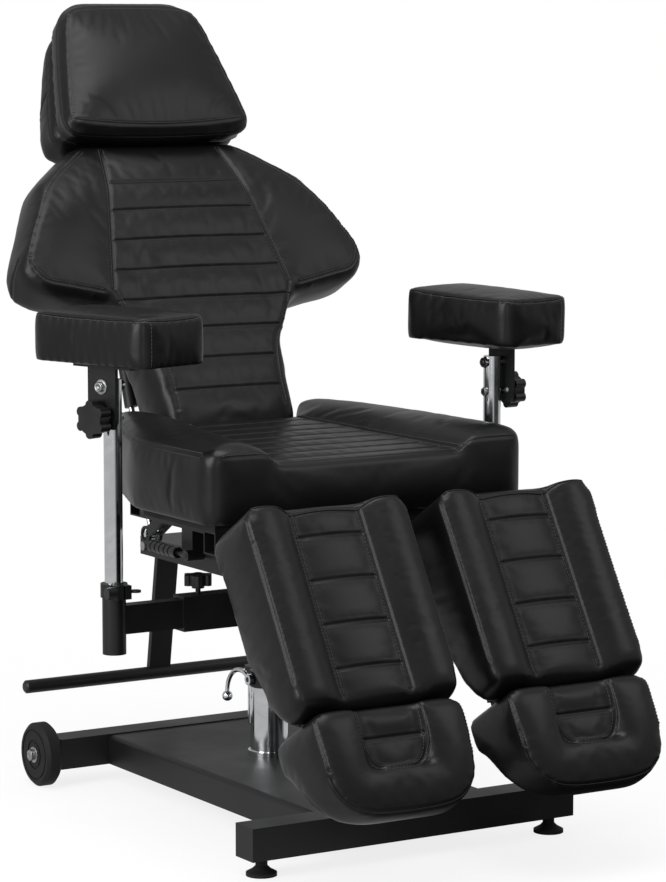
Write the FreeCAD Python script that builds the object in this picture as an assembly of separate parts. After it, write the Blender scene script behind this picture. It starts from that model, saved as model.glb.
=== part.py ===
# Tattoo chair: split leg rests, winged reclining back, padded headrest, post armrests and a pump lift.
# Millimetres. +Z is up, the client faces -Y, +X is the client's left hand.
# The origin is the point on the floor under the axis of the lift column.
import FreeCAD, Part
import math
import os
from FreeCAD import Vector, Rotation, Placement

os.makedirs("parts", exist_ok=True)

# Fits shared by every piece
fit = 0.05             # radial running clearance of a shaft in its hole
soft_gap = 0.4         # padding to whatever lies beside it
plate_gap = 0.5        # side clearance of a plate that swings beside another
overrun = 5.0          # how far a cutting tool passes the face it cuts

# Base: two crossbars joined by a folded channel
bar_size = 50.0        # square crossbar tube
bar_wall = 3.0
bar_rise = 27.0        # underside of the crossbars above the floor
front_bar_y = -412.0
front_bar_half = 285.0
rear_bar_y = 285.0
rear_bar_half = 240.0
channel_half = 152.0   # half width of the folded base channel
channel_drop = 2.0     # its top lies this much under the crossbar tops
channel_wall = 4.0
channel_bend = 7.0     # outside radius of its folds

# Levelling feet under the front crossbar
foot_x = 256.0
foot_pad_r = 23.0
foot_pad_h = 5.0
foot_neck_r = 9.0
foot_stud_r = 5.0
foot_stud_in = 38.0    # length of stud inside the crossbar

# Transport wheels on the ends of the rear crossbar
wheel_width = 27.0
wheel_edge_r = 5.0
wheel_groove = 1.6
wheel_groove_radii_shares = (0.38, 0.46, 0.74, 0.80)
axle_r = 5.0
axle_shoulder = 10.0   # spacer between crossbar end and wheel
axle_shoulder_r = 9.0
axle_head_r = 9.0
axle_head = 8.0

# Column
pedestal_r = 30.0
pedestal_top = 186.0
flange_r = 34.0
flange_h = 8.0
cylinder_r = 26.0
cylinder_top = 350.0
cylinder_floor = 8.0
ram_r = 19.0
ram_low = 105.0
head_half_x = 30.0
head_half_y = 33.0
head_h = 42.0
head_corner = 10.0

# Foot pump beside the column
pump_y = 44.0
pump_r = 12.0
pump_low = 115.0
pump_end_round = 4.0
pump_floor = 10.0
block_h = 25.0
block_gap = 1.0        # pump block above the pedestal
block_r = 31.0
block_lobe_r = 17.0
plunger_r = 8.0
plunger_eye_r = 11.0
plunger_eye_half = 7.0
plunger_pin_r = 4.0
plunger_slot = 1.0     # extra length of the eye's hole

# Pedal: channel, arm and cross bar
pedal_inner_half = 37.0
pedal_wall = 6.0
pedal_plate_h = 30.0
pedal_rear_y = 350.0
pedal_web = 4.0
pedal_web_front_y = 200.0
pivot_r = 6.0
pivot_boss_r = 10.0
arm_bolt_y = 334.0
arm_width = 40.0
arm_thick = 10.0
arm_hub_r = 11.0
arm_bolt_r = 5.0
arm_bolt_head_r = 7.5
arm_bolt_head = 5.0
step_bar_y = 370.0
step_bar_z = 147.0
step_bar_r = 11.0
step_bar_half = 251.0
step_bar_wall = 2.5
step_bar_end_round = 3.0

# Lock lever on the pump block
lever_hub_r = 9.0
lever_hub_w = 7.0
lever_boss = 2.0
lever_rod_r = 3.6
lever_reach = 70.0
lever_drop = 38.0
lever_ball_r = 8.5
lever_stud_r = 4.0

# Seat frame
frame_tube = 35.0
frame_wall = 2.5
ram_top = 396.0
lift_plate_t = 8.0
seat_leg_x = 79.5
front_leg_y = -123.0
rear_leg_y = 92.5
rear_leg_low = 392.0
frame_low = 455.0
frame_front = -290.0
frame_rear = 155.0
front_rail_half = 262.0
rear_rail_half = 166.0

# Armrest cross tube and the tubes that slide in it
cross_tube_h = 54.0
cross_tube_w = 34.0
cross_tube_wall = 5.0
cross_tube_half = 232.0
cross_tube_top = 370.0
arm_tube_wall = 2.5
arm_tube_inner_x = 100.0

# Seat
board_t = 10.0
seat_half = 280.0
seat_front = -308.0
seat_taper_y = -70.0   # the sides run straight up to here and then close in
seat_taper_r = 150.0
seat_rear = 160.0
seat_rear_half = 189.0
seat_board_inset = 17.0
seat_side_h = 105.0    # cushion from its underside to the side seam
seat_panel_h = 84.0
seat_panel_rear_h = 104.0
seat_panel_half = 165.0
seat_panel_rear_half = 89.0
seat_bolster_rise = 27.0
seat_bolster_rear_rise = 20.0
bolster_steps = 8      # flats round each bolster, whose twist a curved loft can't follow
seat_high = 128.0
seat_end_slope = 60.0
seat_end_rise = 4.0
seat_notch_half = 118.0
seat_notch_rear_half = 150.0
seat_notch_y = 95.0
seat_corner = 28.0
seat_rear_corner = 16.0
seat_draw = 2.0        # how far the long sides pull in at their middle
channel_cut_w = 4.0
channel_cut_d = 3.5
seat_channels = 8

# Back
back_hinge_y = 177.0
back_hinge_z = 480.0
back_lean = 27.6       # degrees from vertical at rest
back_bar_x = 70.0
back_bar_w = 25.0
back_bar_t = 24.0
back_bar_wall = 2.5
back_bar_top = 556.0
back_board_t = 13.0
back_front = 120.0     # front panel before the hinge line, square to the back
back_low = 45.0
back_low_half = 108.0
waist_v = 215.0
waist_half = 121.0
wing_low_v = 294.0
wing_low_half = 168.0
wing_tip_low_v = 314.0
wing_tip_low_half = 285.0
wing_tip_corner = 34.0
wing_tip_v = 352.0
wing_tip_half = 309.0
wing_high_v = 503.0
wing_high_half = 236.0
back_top_v = 578.0
back_top_half = 146.0
back_corner = 12.0
back_side_draw = 4.0
wing_corner = 24.0
wing_lift = 14.0       # wing edges stand this far before the panel
wing_edge_drop = 16.0
wing_edge_in = 15.0
wing_rear_lift = 24.0
back_panel_half = 118.0
back_panel_crown = 3.0
back_end_slope = 60.0
back_end_drop = 27.0
back_end_bow = 6.0
back_high = 145.0
back_channels = 8
back_channel_v = 130.0
back_channel_pitch = 53.0
piping_waist_half = 106.0
piping_wing_half = 163.0
piping_top_half = 104.0
back_pin_r = 6.0
lug_t = 8.0
back_lug_r = 11.0
back_lug_half = 7.0

# Recline struts
strut_x = 100.0
strut_top_v = 301.0
strut_low_y = 205.0
strut_low_z = 412.0
strut_body_r = 11.0
strut_body_gap = 212.0 # bare rod from the cylinder's mouth to the lower pin at rest
strut_rod_r = 5.0
strut_bore_end = 12.0
strut_stroke = 72.0
strut_eye_r = 9.0
strut_eye_half = 7.0
strut_pin_r = 4.0
strut_play = 6.4       # clearance round the lower pin, where the linkage is opened
clevis_t = 5.0
clevis_r = 14.5
clevis_half = 9.0

# Recline release lever
release_y = 42.0
release_hub_r = 9.0
release_hub_w = 31.0
release_stem_out = 24.5 # stem from the hub's inner face, clear of the strut's clevis
release_rod_r = 4.0
release_stud_r = 3.5
release_rod_len = 116.0
grip_r = 9.0
grip_len = 88.0
grip_over = 8.0        # grip past the end of its rod
grip_ribs = 5
grip_rib_depth = 1.6

# Headrest
head_foot_y = 335.0
head_foot_z = 1068.0
head_lean = 32.4
pillow_low_half = 165.0
pillow_top_half = 112.0
pillow_h = 245.0
pillow_low_corner = 26.0
pillow_top_corner = 56.0
pillow_t = 52.0
pillow_crown = 10.0
pillow_draw = 4.0
pillow_sag = 8.0       # how far the lower edge bows down
head_plate_t = 4.0
head_plate_inset = 24.0
head_plate_foot_half = 70.0
head_plate_foot_t = 5.0
rear_pad_low_t = 74.0
rear_pad_top_t = 36.0
rear_pad_inset = 6.0
rear_pad_crown = 4.0
head_rod_x = 45.0
head_rod_r = 6.0
head_rod_low = 436.0
head_rod_over = 14.0
head_guide_low = 430.0

# Leg rests
leg_x = 165.7
leg_hinge_y = -336.0
leg_hinge_z = 471.0
leg_lean = 31.3
leg_tube = 20.0
leg_tube_wall = 3.0
leg_tube_x = 55.0
leg_tube_above = 12.0
leg_tube_len = 278.0
leg_board_t = 8.0
leg_board_from = 30.0
leg_board_to = 215.0
leg_board_half = 100.0
leg_pin_r = 6.0
leg_lug_r = 14.0
leg_lug_half = 11.0
calf_front = 130.0     # side seams of the calf pad before the hinge line
calf_half = 132.0
calf_above = 10.0      # pad top over the hinge line, along the leg
calf_low = 290.0
calf_heel_low = 303.0
calf_heel_n = 74.0
calf_back_low = 180.0
calf_back_mid = 258.0
calf_back_mid_n = 41.0
calf_ridge_x = 101.0
calf_ridge = 7.0
calf_panel_half = 57.0
calf_panel_drop = 16.0
calf_panel_crown = 5.0
calf_corner = 20.0
calf_draw = 3.0
calf_channels = 4
calf_channel_from = 38.0
calf_channel_pitch = 68.0
foot_tube_wall = 2.0
foot_tube_from = 150.0
foot_tube_to = 350.0
foot_plate_t = 4.0
foot_plate_half = 80.0
foot_half = 117.0
foot_low_half = 106.0
foot_from = 308.0      # pad top below the hinge line, along the leg
foot_to = 462.0
foot_low_corner = 68.0
foot_top_corner = 18.0
foot_seam_from = 134.0 # front seam before the hinge line, top and bottom
foot_seam_to = 122.0
foot_heel_v = 352.0
foot_toe_v = 452.0
foot_toe_n = 72.0
foot_panel_half = 52.0
foot_panel_drop = 10.0
foot_panel_len = 92.0

# Armrests
post_x = 343.0
post_y = -123.0
post_r = 14.0
post_low = 296.0
post_top = 708.0
socket_r = 18.0
socket_low = 291.0
socket_top = 378.0
collar_r = 20.5
collar_h = 21.0
collar_bolt_in = 7.0
collar_ear_y = 34.0
collar_ear_w = 12.0
collar_slit = 3.0
clamp_bolt_r = 3.0
clamp_loop_r = 7.0
clamp_wire_r = 1.6
clamp_knob_r = 9.0
clamp_knob_len = 15.0
tilt_pin_z = 698.0
tilt_pin_r = 5.0
tilt_pin_head_r = 8.0
tilt_pin_head = 5.0
bracket_t = 6.0
bracket_off = 17.0     # inner face of the bracket plate from the post axis
bracket_half = 29.0
bracket_top = 732.0
bracket_reach_in = 34.0
bracket_flange_half = 60.0
knob_drop = 47.0       # clamp knob under the tilt pin
knob_stud_r = 4.0
tilt_limit = 20.0      # degrees of tilt each way
bracket_rim = 12.0
knob_r = 29.0
knob_waist_r = 23.0
knob_t = 20.0
knob_neck_r = 12.0
knob_neck = 6.0
knob_lobes = 6
pad_len = 245.0
pad_wid = 137.0
pad_h = 75.0
pad_in = 14.0          # the pad's middle lies this far inside its post
pad_corner = 22.0
pad_crown = 6.0
pad_draw = 3.0
right_yaw = 17.0       # how far each pad is turned on its post
left_yaw = 5.6
tube_knob_x = 198.0
tube_knob_share = 0.8  # size of the cross tube's knobs beside the bracket's
tube_knob_stem = 9.0

X = Vector(1, 0, 0)
Y = Vector(0, 1, 0)
Z = Vector(0, 0, 1)


# Small shape makers

def box(x0, x1, y0, y1, z0, z1):
    return Part.makeBox(x1 - x0, y1 - y0, z1 - z0, Vector(x0, y0, z0))


def rod(r, start, end):
    """A round bar between two points."""
    path = end - start
    return Part.makeCylinder(r, path.Length, start, path)


def tube_box(x0, x1, y0, y1, z0, z1, wall, along):
    """A rectangular tube, open at both ends of the axis named by along."""
    grow = [-wall, -wall, -wall]
    grow["xyz".index(along)] = overrun
    inner = box(x0 - grow[0], x1 + grow[0], y0 - grow[1], y1 + grow[1], z0 - grow[2], z1 + grow[2])
    return box(x0, x1, y0, y1, z0, z1).cut(inner)


def rounded(points, radii, at=0.0):
    """A closed wire through flat points, each corner rounded with its own radius."""
    count = len(points)
    edges = []
    tangents = []
    for i in range(count):
        p = Vector(*points[i])
        back = (Vector(*points[i - 1]) - p).normalize()
        ahead = (Vector(*points[(i + 1) % count]) - p).normalize()
        half = back.getAngle(ahead) / 2
        cut = radii[i] / math.tan(half)
        middle = (back + ahead).normalize()
        centre = p + middle * (radii[i] / math.sin(half))
        tangents.append((p + back * cut, centre - middle * radii[i], p + ahead * cut))
    for i in range(count):
        first, crown, last = tangents[i]
        following = tangents[(i + 1) % count][0]
        if radii[i] > 0:
            edges.append(Part.Arc(first, crown, last).toShape())
        if (following - last).Length > fit:
            edges.append(Part.LineSegment(last, following).toShape())
    wire = Part.Wire(edges)
    wire.translate(Z * at)
    return wire


def slab(wire, height):
    """A flat outline given a thickness upwards."""
    return Part.Face(wire).extrude(Z * height)


def turned(points):
    """A solid of revolution about Z from (radius, height) points."""
    wire = Part.makePolygon([Vector(r, 0, h) for r, h in points + [points[0]]])
    return Part.Face(wire).revolve(Vector(0, 0, 0), Z, 360)


def to_x(shape, x, y, z, sign=1):
    """Lays a shape made about Z along +X or -X, with its foot at a point."""
    moved = shape.copy()
    moved.Placement = Placement(Vector(x, y, z), Rotation(Y, 90 * sign)).multiply(moved.Placement)
    return moved


def leaning(origin, lean):
    """The frame of a leaning pad: x across, y up along it, z out of its front."""
    return Placement(origin, Rotation(X, 90 - lean))


def placed(shape, frame):
    moved = shape.copy()
    moved.Placement = frame.multiply(moved.Placement)
    return moved


def mirrored(shape):
    return shape.mirror(Vector(0, 0, 0), X)


def fused(first, *others):
    return first.fuse(list(others)).removeSplitter()


def save(node, *solids):
    """Writes one node from one solid or from several separate ones."""
    shape = solids[0] if len(solids) == 1 else Part.makeCompound(list(solids))
    for solid in shape.Solids:
        if not solid.isValid():
            raise ValueError(node + " holds a broken solid")
    shape.exportStep("parts/" + node + ".step")
    print(f"{node:26s} {len(shape.Solids)} solids {shape.Volume / 1000:9.1f} cm3")


def star_knob():
    """A six-lobed clamp knob about Z: lobed rim above a round neck, its base at zero."""
    lobe_r = knob_r * math.pi / knob_lobes / 2
    ring = knob_r - lobe_r
    body = Part.makeCylinder(knob_waist_r, knob_t, Z * knob_neck)
    for i in range(knob_lobes):
        turn = 2 * math.pi * i / knob_lobes
        foot = Vector(ring * math.cos(turn), ring * math.sin(turn), knob_neck)
        body = body.fuse(Part.makeCylinder(lobe_r, knob_t, foot))
    return fused(body, Part.makeCylinder(knob_neck_r, knob_neck))


# Derived heights and places
bar_top = bar_rise + bar_size
wheel_r = bar_rise + bar_size / 2
channel_top = bar_top - channel_drop
flange_top = channel_top + flange_h
block_low = pedestal_top + block_gap
block_top = block_low + block_h
head_top = cylinder_top + head_h
pivot_z = cylinder_top + head_h / 2
frame_top = frame_low + frame_tube
seat_low = frame_top + board_t
cross_tube_low = cross_tube_top - cross_tube_h
release_z = ram_top + lift_plate_t / 2
arm_tube_z = (cross_tube_top + cross_tube_low) / 2
front_bar_back = front_bar_y + bar_size / 2
rear_bar_front = rear_bar_y - bar_size / 2


# Base

def crossbar(y, half):
    """A square tube along X with welded ends."""
    shell = box(-half, half, y - bar_size / 2, y + bar_size / 2, bar_rise, bar_top)
    hollow = box(bar_wall - half, half - bar_wall, y - bar_size / 2 + bar_wall, y + bar_size / 2 - bar_wall,
                 bar_rise + bar_wall, bar_top - bar_wall)
    return shell.cut(hollow)


def make_base():
    front = crossbar(front_bar_y, front_bar_half)
    for side in (-1, 1):
        front = front.cut(rod(foot_stud_r + fit, Vector(side * foot_x, front_bar_y, bar_rise - overrun),
                              Vector(side * foot_x, front_bar_y, bar_rise + bar_size / 2)))
    save("front_crossbar", front)

    rear = crossbar(rear_bar_y, rear_bar_half)
    rear = rear.cut(rod(axle_r + fit, Vector(-rear_bar_half - overrun, rear_bar_y, wheel_r),
                        Vector(rear_bar_half + overrun, rear_bar_y, wheel_r)))
    save("rear_crossbar", rear)

    outer = [(-channel_half, bar_rise), (channel_half, bar_rise), (channel_half, channel_top),
             (-channel_half, channel_top)]
    inner_half = channel_half - channel_wall
    inner = [(-inner_half, bar_rise - overrun), (inner_half, bar_rise - overrun),
             (inner_half, channel_top - channel_wall), (-inner_half, channel_top - channel_wall)]
    length = rear_bar_front - front_bar_back
    stand = Placement(Vector(0, rear_bar_front, 0), Rotation(X, 90))
    pan = slab(rounded(outer, (0, 0, channel_bend, channel_bend)), length)
    pan = pan.cut(slab(rounded(inner, (0, 0, channel_bend - channel_wall, channel_bend - channel_wall)), length))
    save("base_channel", placed(pan, stand))

    stud_top = bar_rise + foot_stud_in
    foot = turned([(0, 0), (foot_pad_r, 0), (foot_pad_r, foot_pad_h), (foot_neck_r + foot_pad_h, foot_pad_h * 2),
                   (foot_neck_r, foot_pad_h * 3), (foot_neck_r, bar_rise), (foot_stud_r, bar_rise),
                   (foot_stud_r, stud_top), (0, stud_top)])
    feet = []
    for side in (-1, 1):
        feet.append(placed(foot, Placement(Vector(side * foot_x, front_bar_y, 0), Rotation())))
    save("levelling_feet", *feet)

    groove = [share * wheel_r for share in wheel_groove_radii_shares]
    face = wheel_width - wheel_groove
    wheel = turned([(axle_r + fit, 0), (wheel_r - wheel_edge_r, 0), (wheel_r, wheel_edge_r),
                    (wheel_r, wheel_width - wheel_edge_r), (wheel_r - wheel_edge_r, wheel_width),
                    (groove[3], wheel_width), (groove[3], face), (groove[2], face), (groove[2], wheel_width),
                    (groove[1], wheel_width), (groove[1], face), (groove[0], face), (groove[0], wheel_width),
                    (axle_r + fit, wheel_width)])
    hub_x = rear_bar_half + axle_shoulder
    axles = []
    for side, name in ((-1, "wheel_right"), (1, "wheel_left")):
        save(name, to_x(wheel, side * (hub_x + fit), rear_bar_y, wheel_r, side))
        end_x = hub_x + wheel_width + 2 * fit
        axle = fused(rod(axle_r, Vector(side * (rear_bar_half - bar_size), rear_bar_y, wheel_r),
                         Vector(side * (end_x + axle_head), rear_bar_y, wheel_r)),
                     rod(axle_shoulder_r, Vector(side * rear_bar_half, rear_bar_y, wheel_r),
                         Vector(side * hub_x, rear_bar_y, wheel_r)))
        hexagon = Part.Wire(Part.makePolygon([Vector(axle_head_r * math.cos(math.radians(60 * i)),
                                                     axle_head_r * math.sin(math.radians(60 * i)), 0)
                                              for i in range(7)]))
        nut = to_x(slab(hexagon, axle_head - 2 * fit), side * end_x, rear_bar_y, wheel_r, side)
        axles.append(fused(axle, nut))
    save("wheel_axles", *axles)

    pedestal = turned([(0, channel_top), (flange_r, channel_top), (flange_r, flange_top), (pedestal_r, flange_top),
                       (pedestal_r, pedestal_top), (cylinder_r + fit, pedestal_top),
                       (cylinder_r + fit, flange_top), (0, flange_top)])
    save("pedestal_tube", pedestal)


# Lift column and foot pump

def make_column():
    low = flange_top + fit
    cylinder = Part.makeCylinder(cylinder_r, cylinder_top - low, Z * low)
    cylinder = cylinder.cut(Part.makeCylinder(ram_r + fit, cylinder_top, Z * (low + cylinder_floor)))
    save("lift_cylinder", cylinder)

    corners = [(-head_half_x, -head_half_y), (head_half_x, -head_half_y), (head_half_x, head_half_y),
               (-head_half_x, head_half_y)]
    head = slab(rounded(corners, [head_corner] * 4, cylinder_top), head_h)
    for side in (-1, 1):
        boss_end = side * (pedal_inner_half - plate_gap)
        pin_end = side * (pedal_inner_half + pedal_wall + plate_gap)
        head = head.fuse(rod(pivot_boss_r, Vector(0, 0, pivot_z), Vector(boss_end, 0, pivot_z)))
        head = head.fuse(rod(pivot_r, Vector(0, 0, pivot_z), Vector(pin_end, 0, pivot_z)))
    head = head.cut(Part.makeCylinder(ram_r + fit, head_h + 2 * overrun, Z * (cylinder_top - overrun)))
    save("pump_head", head.removeSplitter())

    lobe = Part.makeCylinder(block_lobe_r, block_h, Vector(0, pump_y, block_low))
    bridge = box(-block_lobe_r, block_lobe_r, 0, pump_y, block_low, block_top)
    block = Part.makeCylinder(block_r, block_h, Z * block_low)
    lever_z = block_low + block_h / 2
    boss = rod(lever_hub_r, Vector(0, 0, lever_z), Vector(-block_r - lever_boss, 0, lever_z))
    stud = rod(lever_stud_r, Vector(-block_r, 0, lever_z),
               Vector(-block_r - lever_boss - lever_hub_w - plate_gap, 0, lever_z))
    block = fused(block, lobe, bridge, boss, stud)
    block = block.cut(Part.makeCylinder(cylinder_r + fit, block_h + 2 * overrun, Z * (block_low - overrun)))
    block = block.cut(Part.makeCylinder(plunger_r + fit, block_h + 2 * overrun,
                                        Vector(0, pump_y, block_low - overrun)))
    save("pump_block", block)

    barrel = turned([(0, pump_low), (pump_r - pump_end_round, pump_low), (pump_r, pump_low + pump_end_round),
                     (pump_r, block_low), (plunger_r + fit, block_low), (plunger_r + fit, pump_low + pump_floor),
                     (0, pump_low + pump_floor)])
    save("pump_barrel", placed(barrel, Placement(Y * pump_y, Rotation())))

    shank_low = pump_low + 2 * pump_floor
    shank = rod(plunger_r, Vector(0, pump_y, shank_low), Vector(0, pump_y, pivot_z - plunger_eye_r / 2))
    eye = rod(plunger_eye_r, Vector(-plunger_eye_half, pump_y, pivot_z), Vector(plunger_eye_half, pump_y, pivot_z))
    plunger = fused(shank, eye)
    for shift in (-plunger_slot / 2, 0, plunger_slot / 2):
        plunger = plunger.cut(rod(plunger_pin_r + 4 * fit, Vector(-plunger_r - overrun, pump_y + shift, pivot_z),
                                  Vector(plunger_r + overrun, pump_y + shift, pivot_z)))
    save("pump_plunger", plunger)

    # Lock lever: hub on the block's stud, a rod that curves down and back, and a drop-shaped ball
    hub_x = -block_r - lever_boss - plate_gap / 2
    hub = rod(lever_hub_r, Vector(hub_x, 0, lever_z), Vector(hub_x - lever_hub_w, 0, lever_z))
    rod_x = hub_x - lever_hub_w / 2
    start = Vector(rod_x, 0, lever_z)
    bend = Vector(rod_x, lever_reach * math.cos(math.radians(45)), lever_z + lever_drop / 8)
    end = Vector(rod_x, lever_reach, lever_z - lever_drop)
    path = Part.Wire(Part.Arc(start, bend, end).toShape())
    tangent = path.Edges[0].tangentAt(path.Edges[0].FirstParameter)
    section = Part.Wire(Part.Circle(start, tangent, lever_rod_r).toShape())
    stem = path.makePipeShell([section], True, False)
    lever = hub.fuse(stem).fuse(Part.makeSphere(lever_ball_r, end))
    lever = lever.cut(rod(lever_stud_r + fit, Vector(hub_x + overrun, 0, lever_z),
                          Vector(hub_x - lever_hub_w - overrun, 0, lever_z)))
    save("lock_lever", lever)


# Foot pedal

def make_pedal():
    low = pivot_z - pedal_plate_h / 2
    high = pivot_z + pedal_plate_h / 2
    outer_half = pedal_inner_half + pedal_wall
    side = box(pedal_inner_half, outer_half, 0, pedal_rear_y, low, high)
    side = side.fuse(rod(pedal_plate_h / 2, Vector(pedal_inner_half, 0, pivot_z), Vector(outer_half, 0, pivot_z)))
    web = box(-outer_half, outer_half, pedal_web_front_y, pedal_rear_y, high - pedal_web, high)
    frame = fused(side, mirrored(side), web)
    frame = frame.cut(rod(pivot_r + fit, Vector(-outer_half - overrun, 0, pivot_z),
                          Vector(outer_half + overrun, 0, pivot_z)))
    frame = frame.cut(rod(plunger_pin_r + fit, Vector(-outer_half - overrun, pump_y, pivot_z),
                          Vector(outer_half + overrun, pump_y, pivot_z)))
    frame = frame.cut(rod(arm_bolt_r + fit, Vector(-outer_half - overrun, arm_bolt_y, pivot_z),
                          Vector(outer_half + overrun, arm_bolt_y, pivot_z)))
    save("pedal_channel", frame)

    hub_half = pedal_inner_half - fit
    hub = rod(arm_hub_r, Vector(-hub_half, arm_bolt_y, pivot_z), Vector(hub_half, arm_bolt_y, pivot_z))
    reach = Vector(0, step_bar_y - arm_bolt_y, step_bar_z - pivot_z)
    turn = math.degrees(math.atan2(reach.y, -reach.z))
    strap = box(-arm_width / 2, arm_width / 2, -arm_thick / 2, arm_thick / 2, -reach.Length, 0)
    strap = placed(strap, Placement(Vector(0, arm_bolt_y, pivot_z), Rotation(X, turn)))
    bar_from = Vector(-step_bar_half, step_bar_y, step_bar_z)
    bar_to = Vector(step_bar_half, step_bar_y, step_bar_z)
    arm = fused(hub, strap).cut(rod(step_bar_r + fit, bar_from, bar_to))
    arm = arm.cut(rod(arm_bolt_r + fit, Vector(-hub_half - overrun, arm_bolt_y, pivot_z),
                      Vector(hub_half + overrun, arm_bolt_y, pivot_z)))
    save("pedal_arm", arm)

    half = step_bar_half
    bar = turned([(0, -half), (step_bar_r - step_bar_end_round, -half), (step_bar_r, step_bar_end_round - half),
                  (step_bar_r, half - step_bar_end_round), (step_bar_r - step_bar_end_round, half), (0, half)])
    bar = bar.cut(Part.makeCylinder(step_bar_r - step_bar_wall, 2 * (half - step_bar_r),
                                    Z * (step_bar_r - half)))
    save("pedal_step_bar", to_x(bar, 0, step_bar_y, step_bar_z))

    bolts = []
    for y, r, head_r in ((arm_bolt_y, arm_bolt_r, arm_bolt_head_r), (pump_y, plunger_pin_r, pivot_r)):
        bolt = rod(r, Vector(-outer_half, y, pivot_z), Vector(outer_half, y, pivot_z))
        for way in (-1, 1):
            bolt = bolt.fuse(rod(head_r, Vector(way * outer_half, y, pivot_z),
                                 Vector(way * (outer_half + arm_bolt_head), y, pivot_z)))
        bolts.append(bolt.removeSplitter())
    save("pedal_bolts", *bolts)


# Seat frame, everything that the ram lifts

arm_tube_w = cross_tube_w - 2 * cross_tube_wall - 2 * fit
arm_tube_h = cross_tube_h - 2 * cross_tube_wall - 2 * fit
half_tube = frame_tube / 2
lean_back = leaning(Vector(0, back_hinge_y, back_hinge_z), back_lean)


def lug(x0, x1, pivot, foot, r, half):
    """A plate square to X with a round end at pivot, reaching to foot; both are (y, z) pairs."""
    start = Vector(x0, *pivot)
    reach = Vector(0, foot[0] - pivot[0], foot[1] - pivot[1])
    side = X.cross(reach).normalize() * half
    outline = Part.makePolygon([start + side, start + side + reach, start - side + reach, start - side,
                                start + side])
    return Part.Face(outline).extrude(X * (x1 - x0)).fuse(rod(r, start, Vector(x1, *pivot)))


def make_seat_frame():
    save("lift_ram", Part.makeCylinder(ram_r, ram_top - ram_low, Z * ram_low))

    plate_half = seat_leg_x + half_tube
    plate = box(-plate_half, plate_half, front_leg_y + half_tube, rear_leg_y - half_tube,
                ram_top, ram_top + lift_plate_t)
    stud = rod(release_stud_r, Vector(-plate_half + overrun, release_y, release_z),
               Vector(-plate_half - release_hub_w - 2 * plate_gap, release_y, release_z))
    save("lift_plate", plate.fuse(stud))

    tubes = []
    for side in (-1, 1):
        x0 = side * seat_leg_x - half_tube
        x1 = side * seat_leg_x + half_tube
        tubes.append(tube_box(x0, x1, front_leg_y - half_tube, front_leg_y + half_tube, cross_tube_top,
                              frame_low, frame_wall, "z"))
        tubes.append(tube_box(x0, x1, rear_leg_y - half_tube, rear_leg_y + half_tube, rear_leg_low,
                              frame_low, frame_wall, "z"))
        tubes.append(tube_box(x0, x1, frame_front + frame_tube, frame_rear - frame_tube, frame_low,
                              frame_top, frame_wall, "y"))
        outer = rear_rail_half - half_tube
        tubes.append(tube_box(side * outer - half_tube, side * outer + half_tube, frame_front + frame_tube,
                              frame_rear - frame_tube, frame_low, frame_top, frame_wall, "y"))
    tubes.append(tube_box(-front_rail_half, front_rail_half, frame_front, frame_front + frame_tube,
                          frame_low, frame_top, frame_wall, "x"))
    tubes.append(tube_box(-rear_rail_half, rear_rail_half, frame_rear - frame_tube, frame_rear,
                          frame_low, frame_top, frame_wall, "x"))
    save("seat_frame", *tubes)

    half_w = cross_tube_w / 2
    cross = tube_box(-cross_tube_half, cross_tube_half, post_y - half_w, post_y + half_w, cross_tube_low,
                     cross_tube_top, cross_tube_wall, "x")
    for side in (-1, 1):
        cross = cross.cut(Part.makeCylinder(knob_stud_r + fit, cross_tube_wall + 2 * overrun,
                                            Vector(side * tube_knob_x, post_y, cross_tube_top
                                                   - cross_tube_wall - overrun)))
    save("armrest_cross_tube", cross)

    # Lugs and pins: back hinge, strut clevises and leg hinges
    rails = box(-front_rail_half, front_rail_half, frame_front, frame_rear, frame_low, frame_top)
    brackets = []

    def hinge_pair(near, far, pivot, foot, r, half, pin_r):
        """Two lugs outside the faces near and far, and the pin through both."""
        pin = rod(pin_r, Vector(near - lug_t, *pivot), Vector(far + lug_t, *pivot))
        for x0, x1 in ((near - lug_t, near), (far, far + lug_t)):
            brackets.append(lug(x0, x1, pivot, foot, r, half).cut(pin).cut(rails))
        brackets.append(pin)

    for side in (-1, 1):
        reach = back_bar_w / 2 + plate_gap
        hinge_pair(side * back_bar_x - reach, side * back_bar_x + reach, (back_hinge_y, back_hinge_z),
                   (frame_rear - lug_t, back_hinge_z - lug_t), back_lug_r, back_lug_half, back_pin_r)
        reach = leg_tube_x + leg_tube / 2 + plate_gap
        hinge_pair(side * leg_x - reach, side * leg_x + reach, (leg_hinge_y, leg_hinge_z),
                   (frame_front + lug_t, leg_hinge_z), leg_lug_r, leg_lug_half, leg_pin_r)
        for way in (-1, 1):
            face = side * strut_x + way * (strut_eye_half + plate_gap)
            outer = face + way * clevis_t
            ear = lug(face, outer, (strut_low_y, strut_low_z), (frame_rear - half_tube, frame_low),
                      clevis_r, clevis_half)
            play = rod(strut_pin_r + strut_play, Vector(face - way * overrun, strut_low_y, strut_low_z),
                       Vector(outer + way * overrun, strut_low_y, strut_low_z))
            brackets.append(ear.cut(play).cut(rails))
    save("hinge_brackets", *brackets)

    board = plan_of(seat_points(seat_board_inset), frame_top, seat_low)
    save("seat_board", board.cut(seat_notch(frame_low, seat_low + overrun)))


# Padding: the common part of a plan, a side profile and a cross-section

def outline(points):
    """A closed wire through (a, b) points; a third value bows the side that starts there outwards."""
    edges = []
    for i, point in enumerate(points):
        start = Vector(point[0], point[1], 0)
        end = Vector(points[(i + 1) % len(points)][0], points[(i + 1) % len(points)][1], 0)
        if len(point) > 2 and point[2]:
            out = (end - start).cross(Z).normalize() * point[2]
            edges.append(Part.Arc(start, (start + end) / 2 + out, end).toShape())
        else:
            edges.append(Part.LineSegment(start, end).toShape())
    return Part.Wire(edges)


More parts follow.
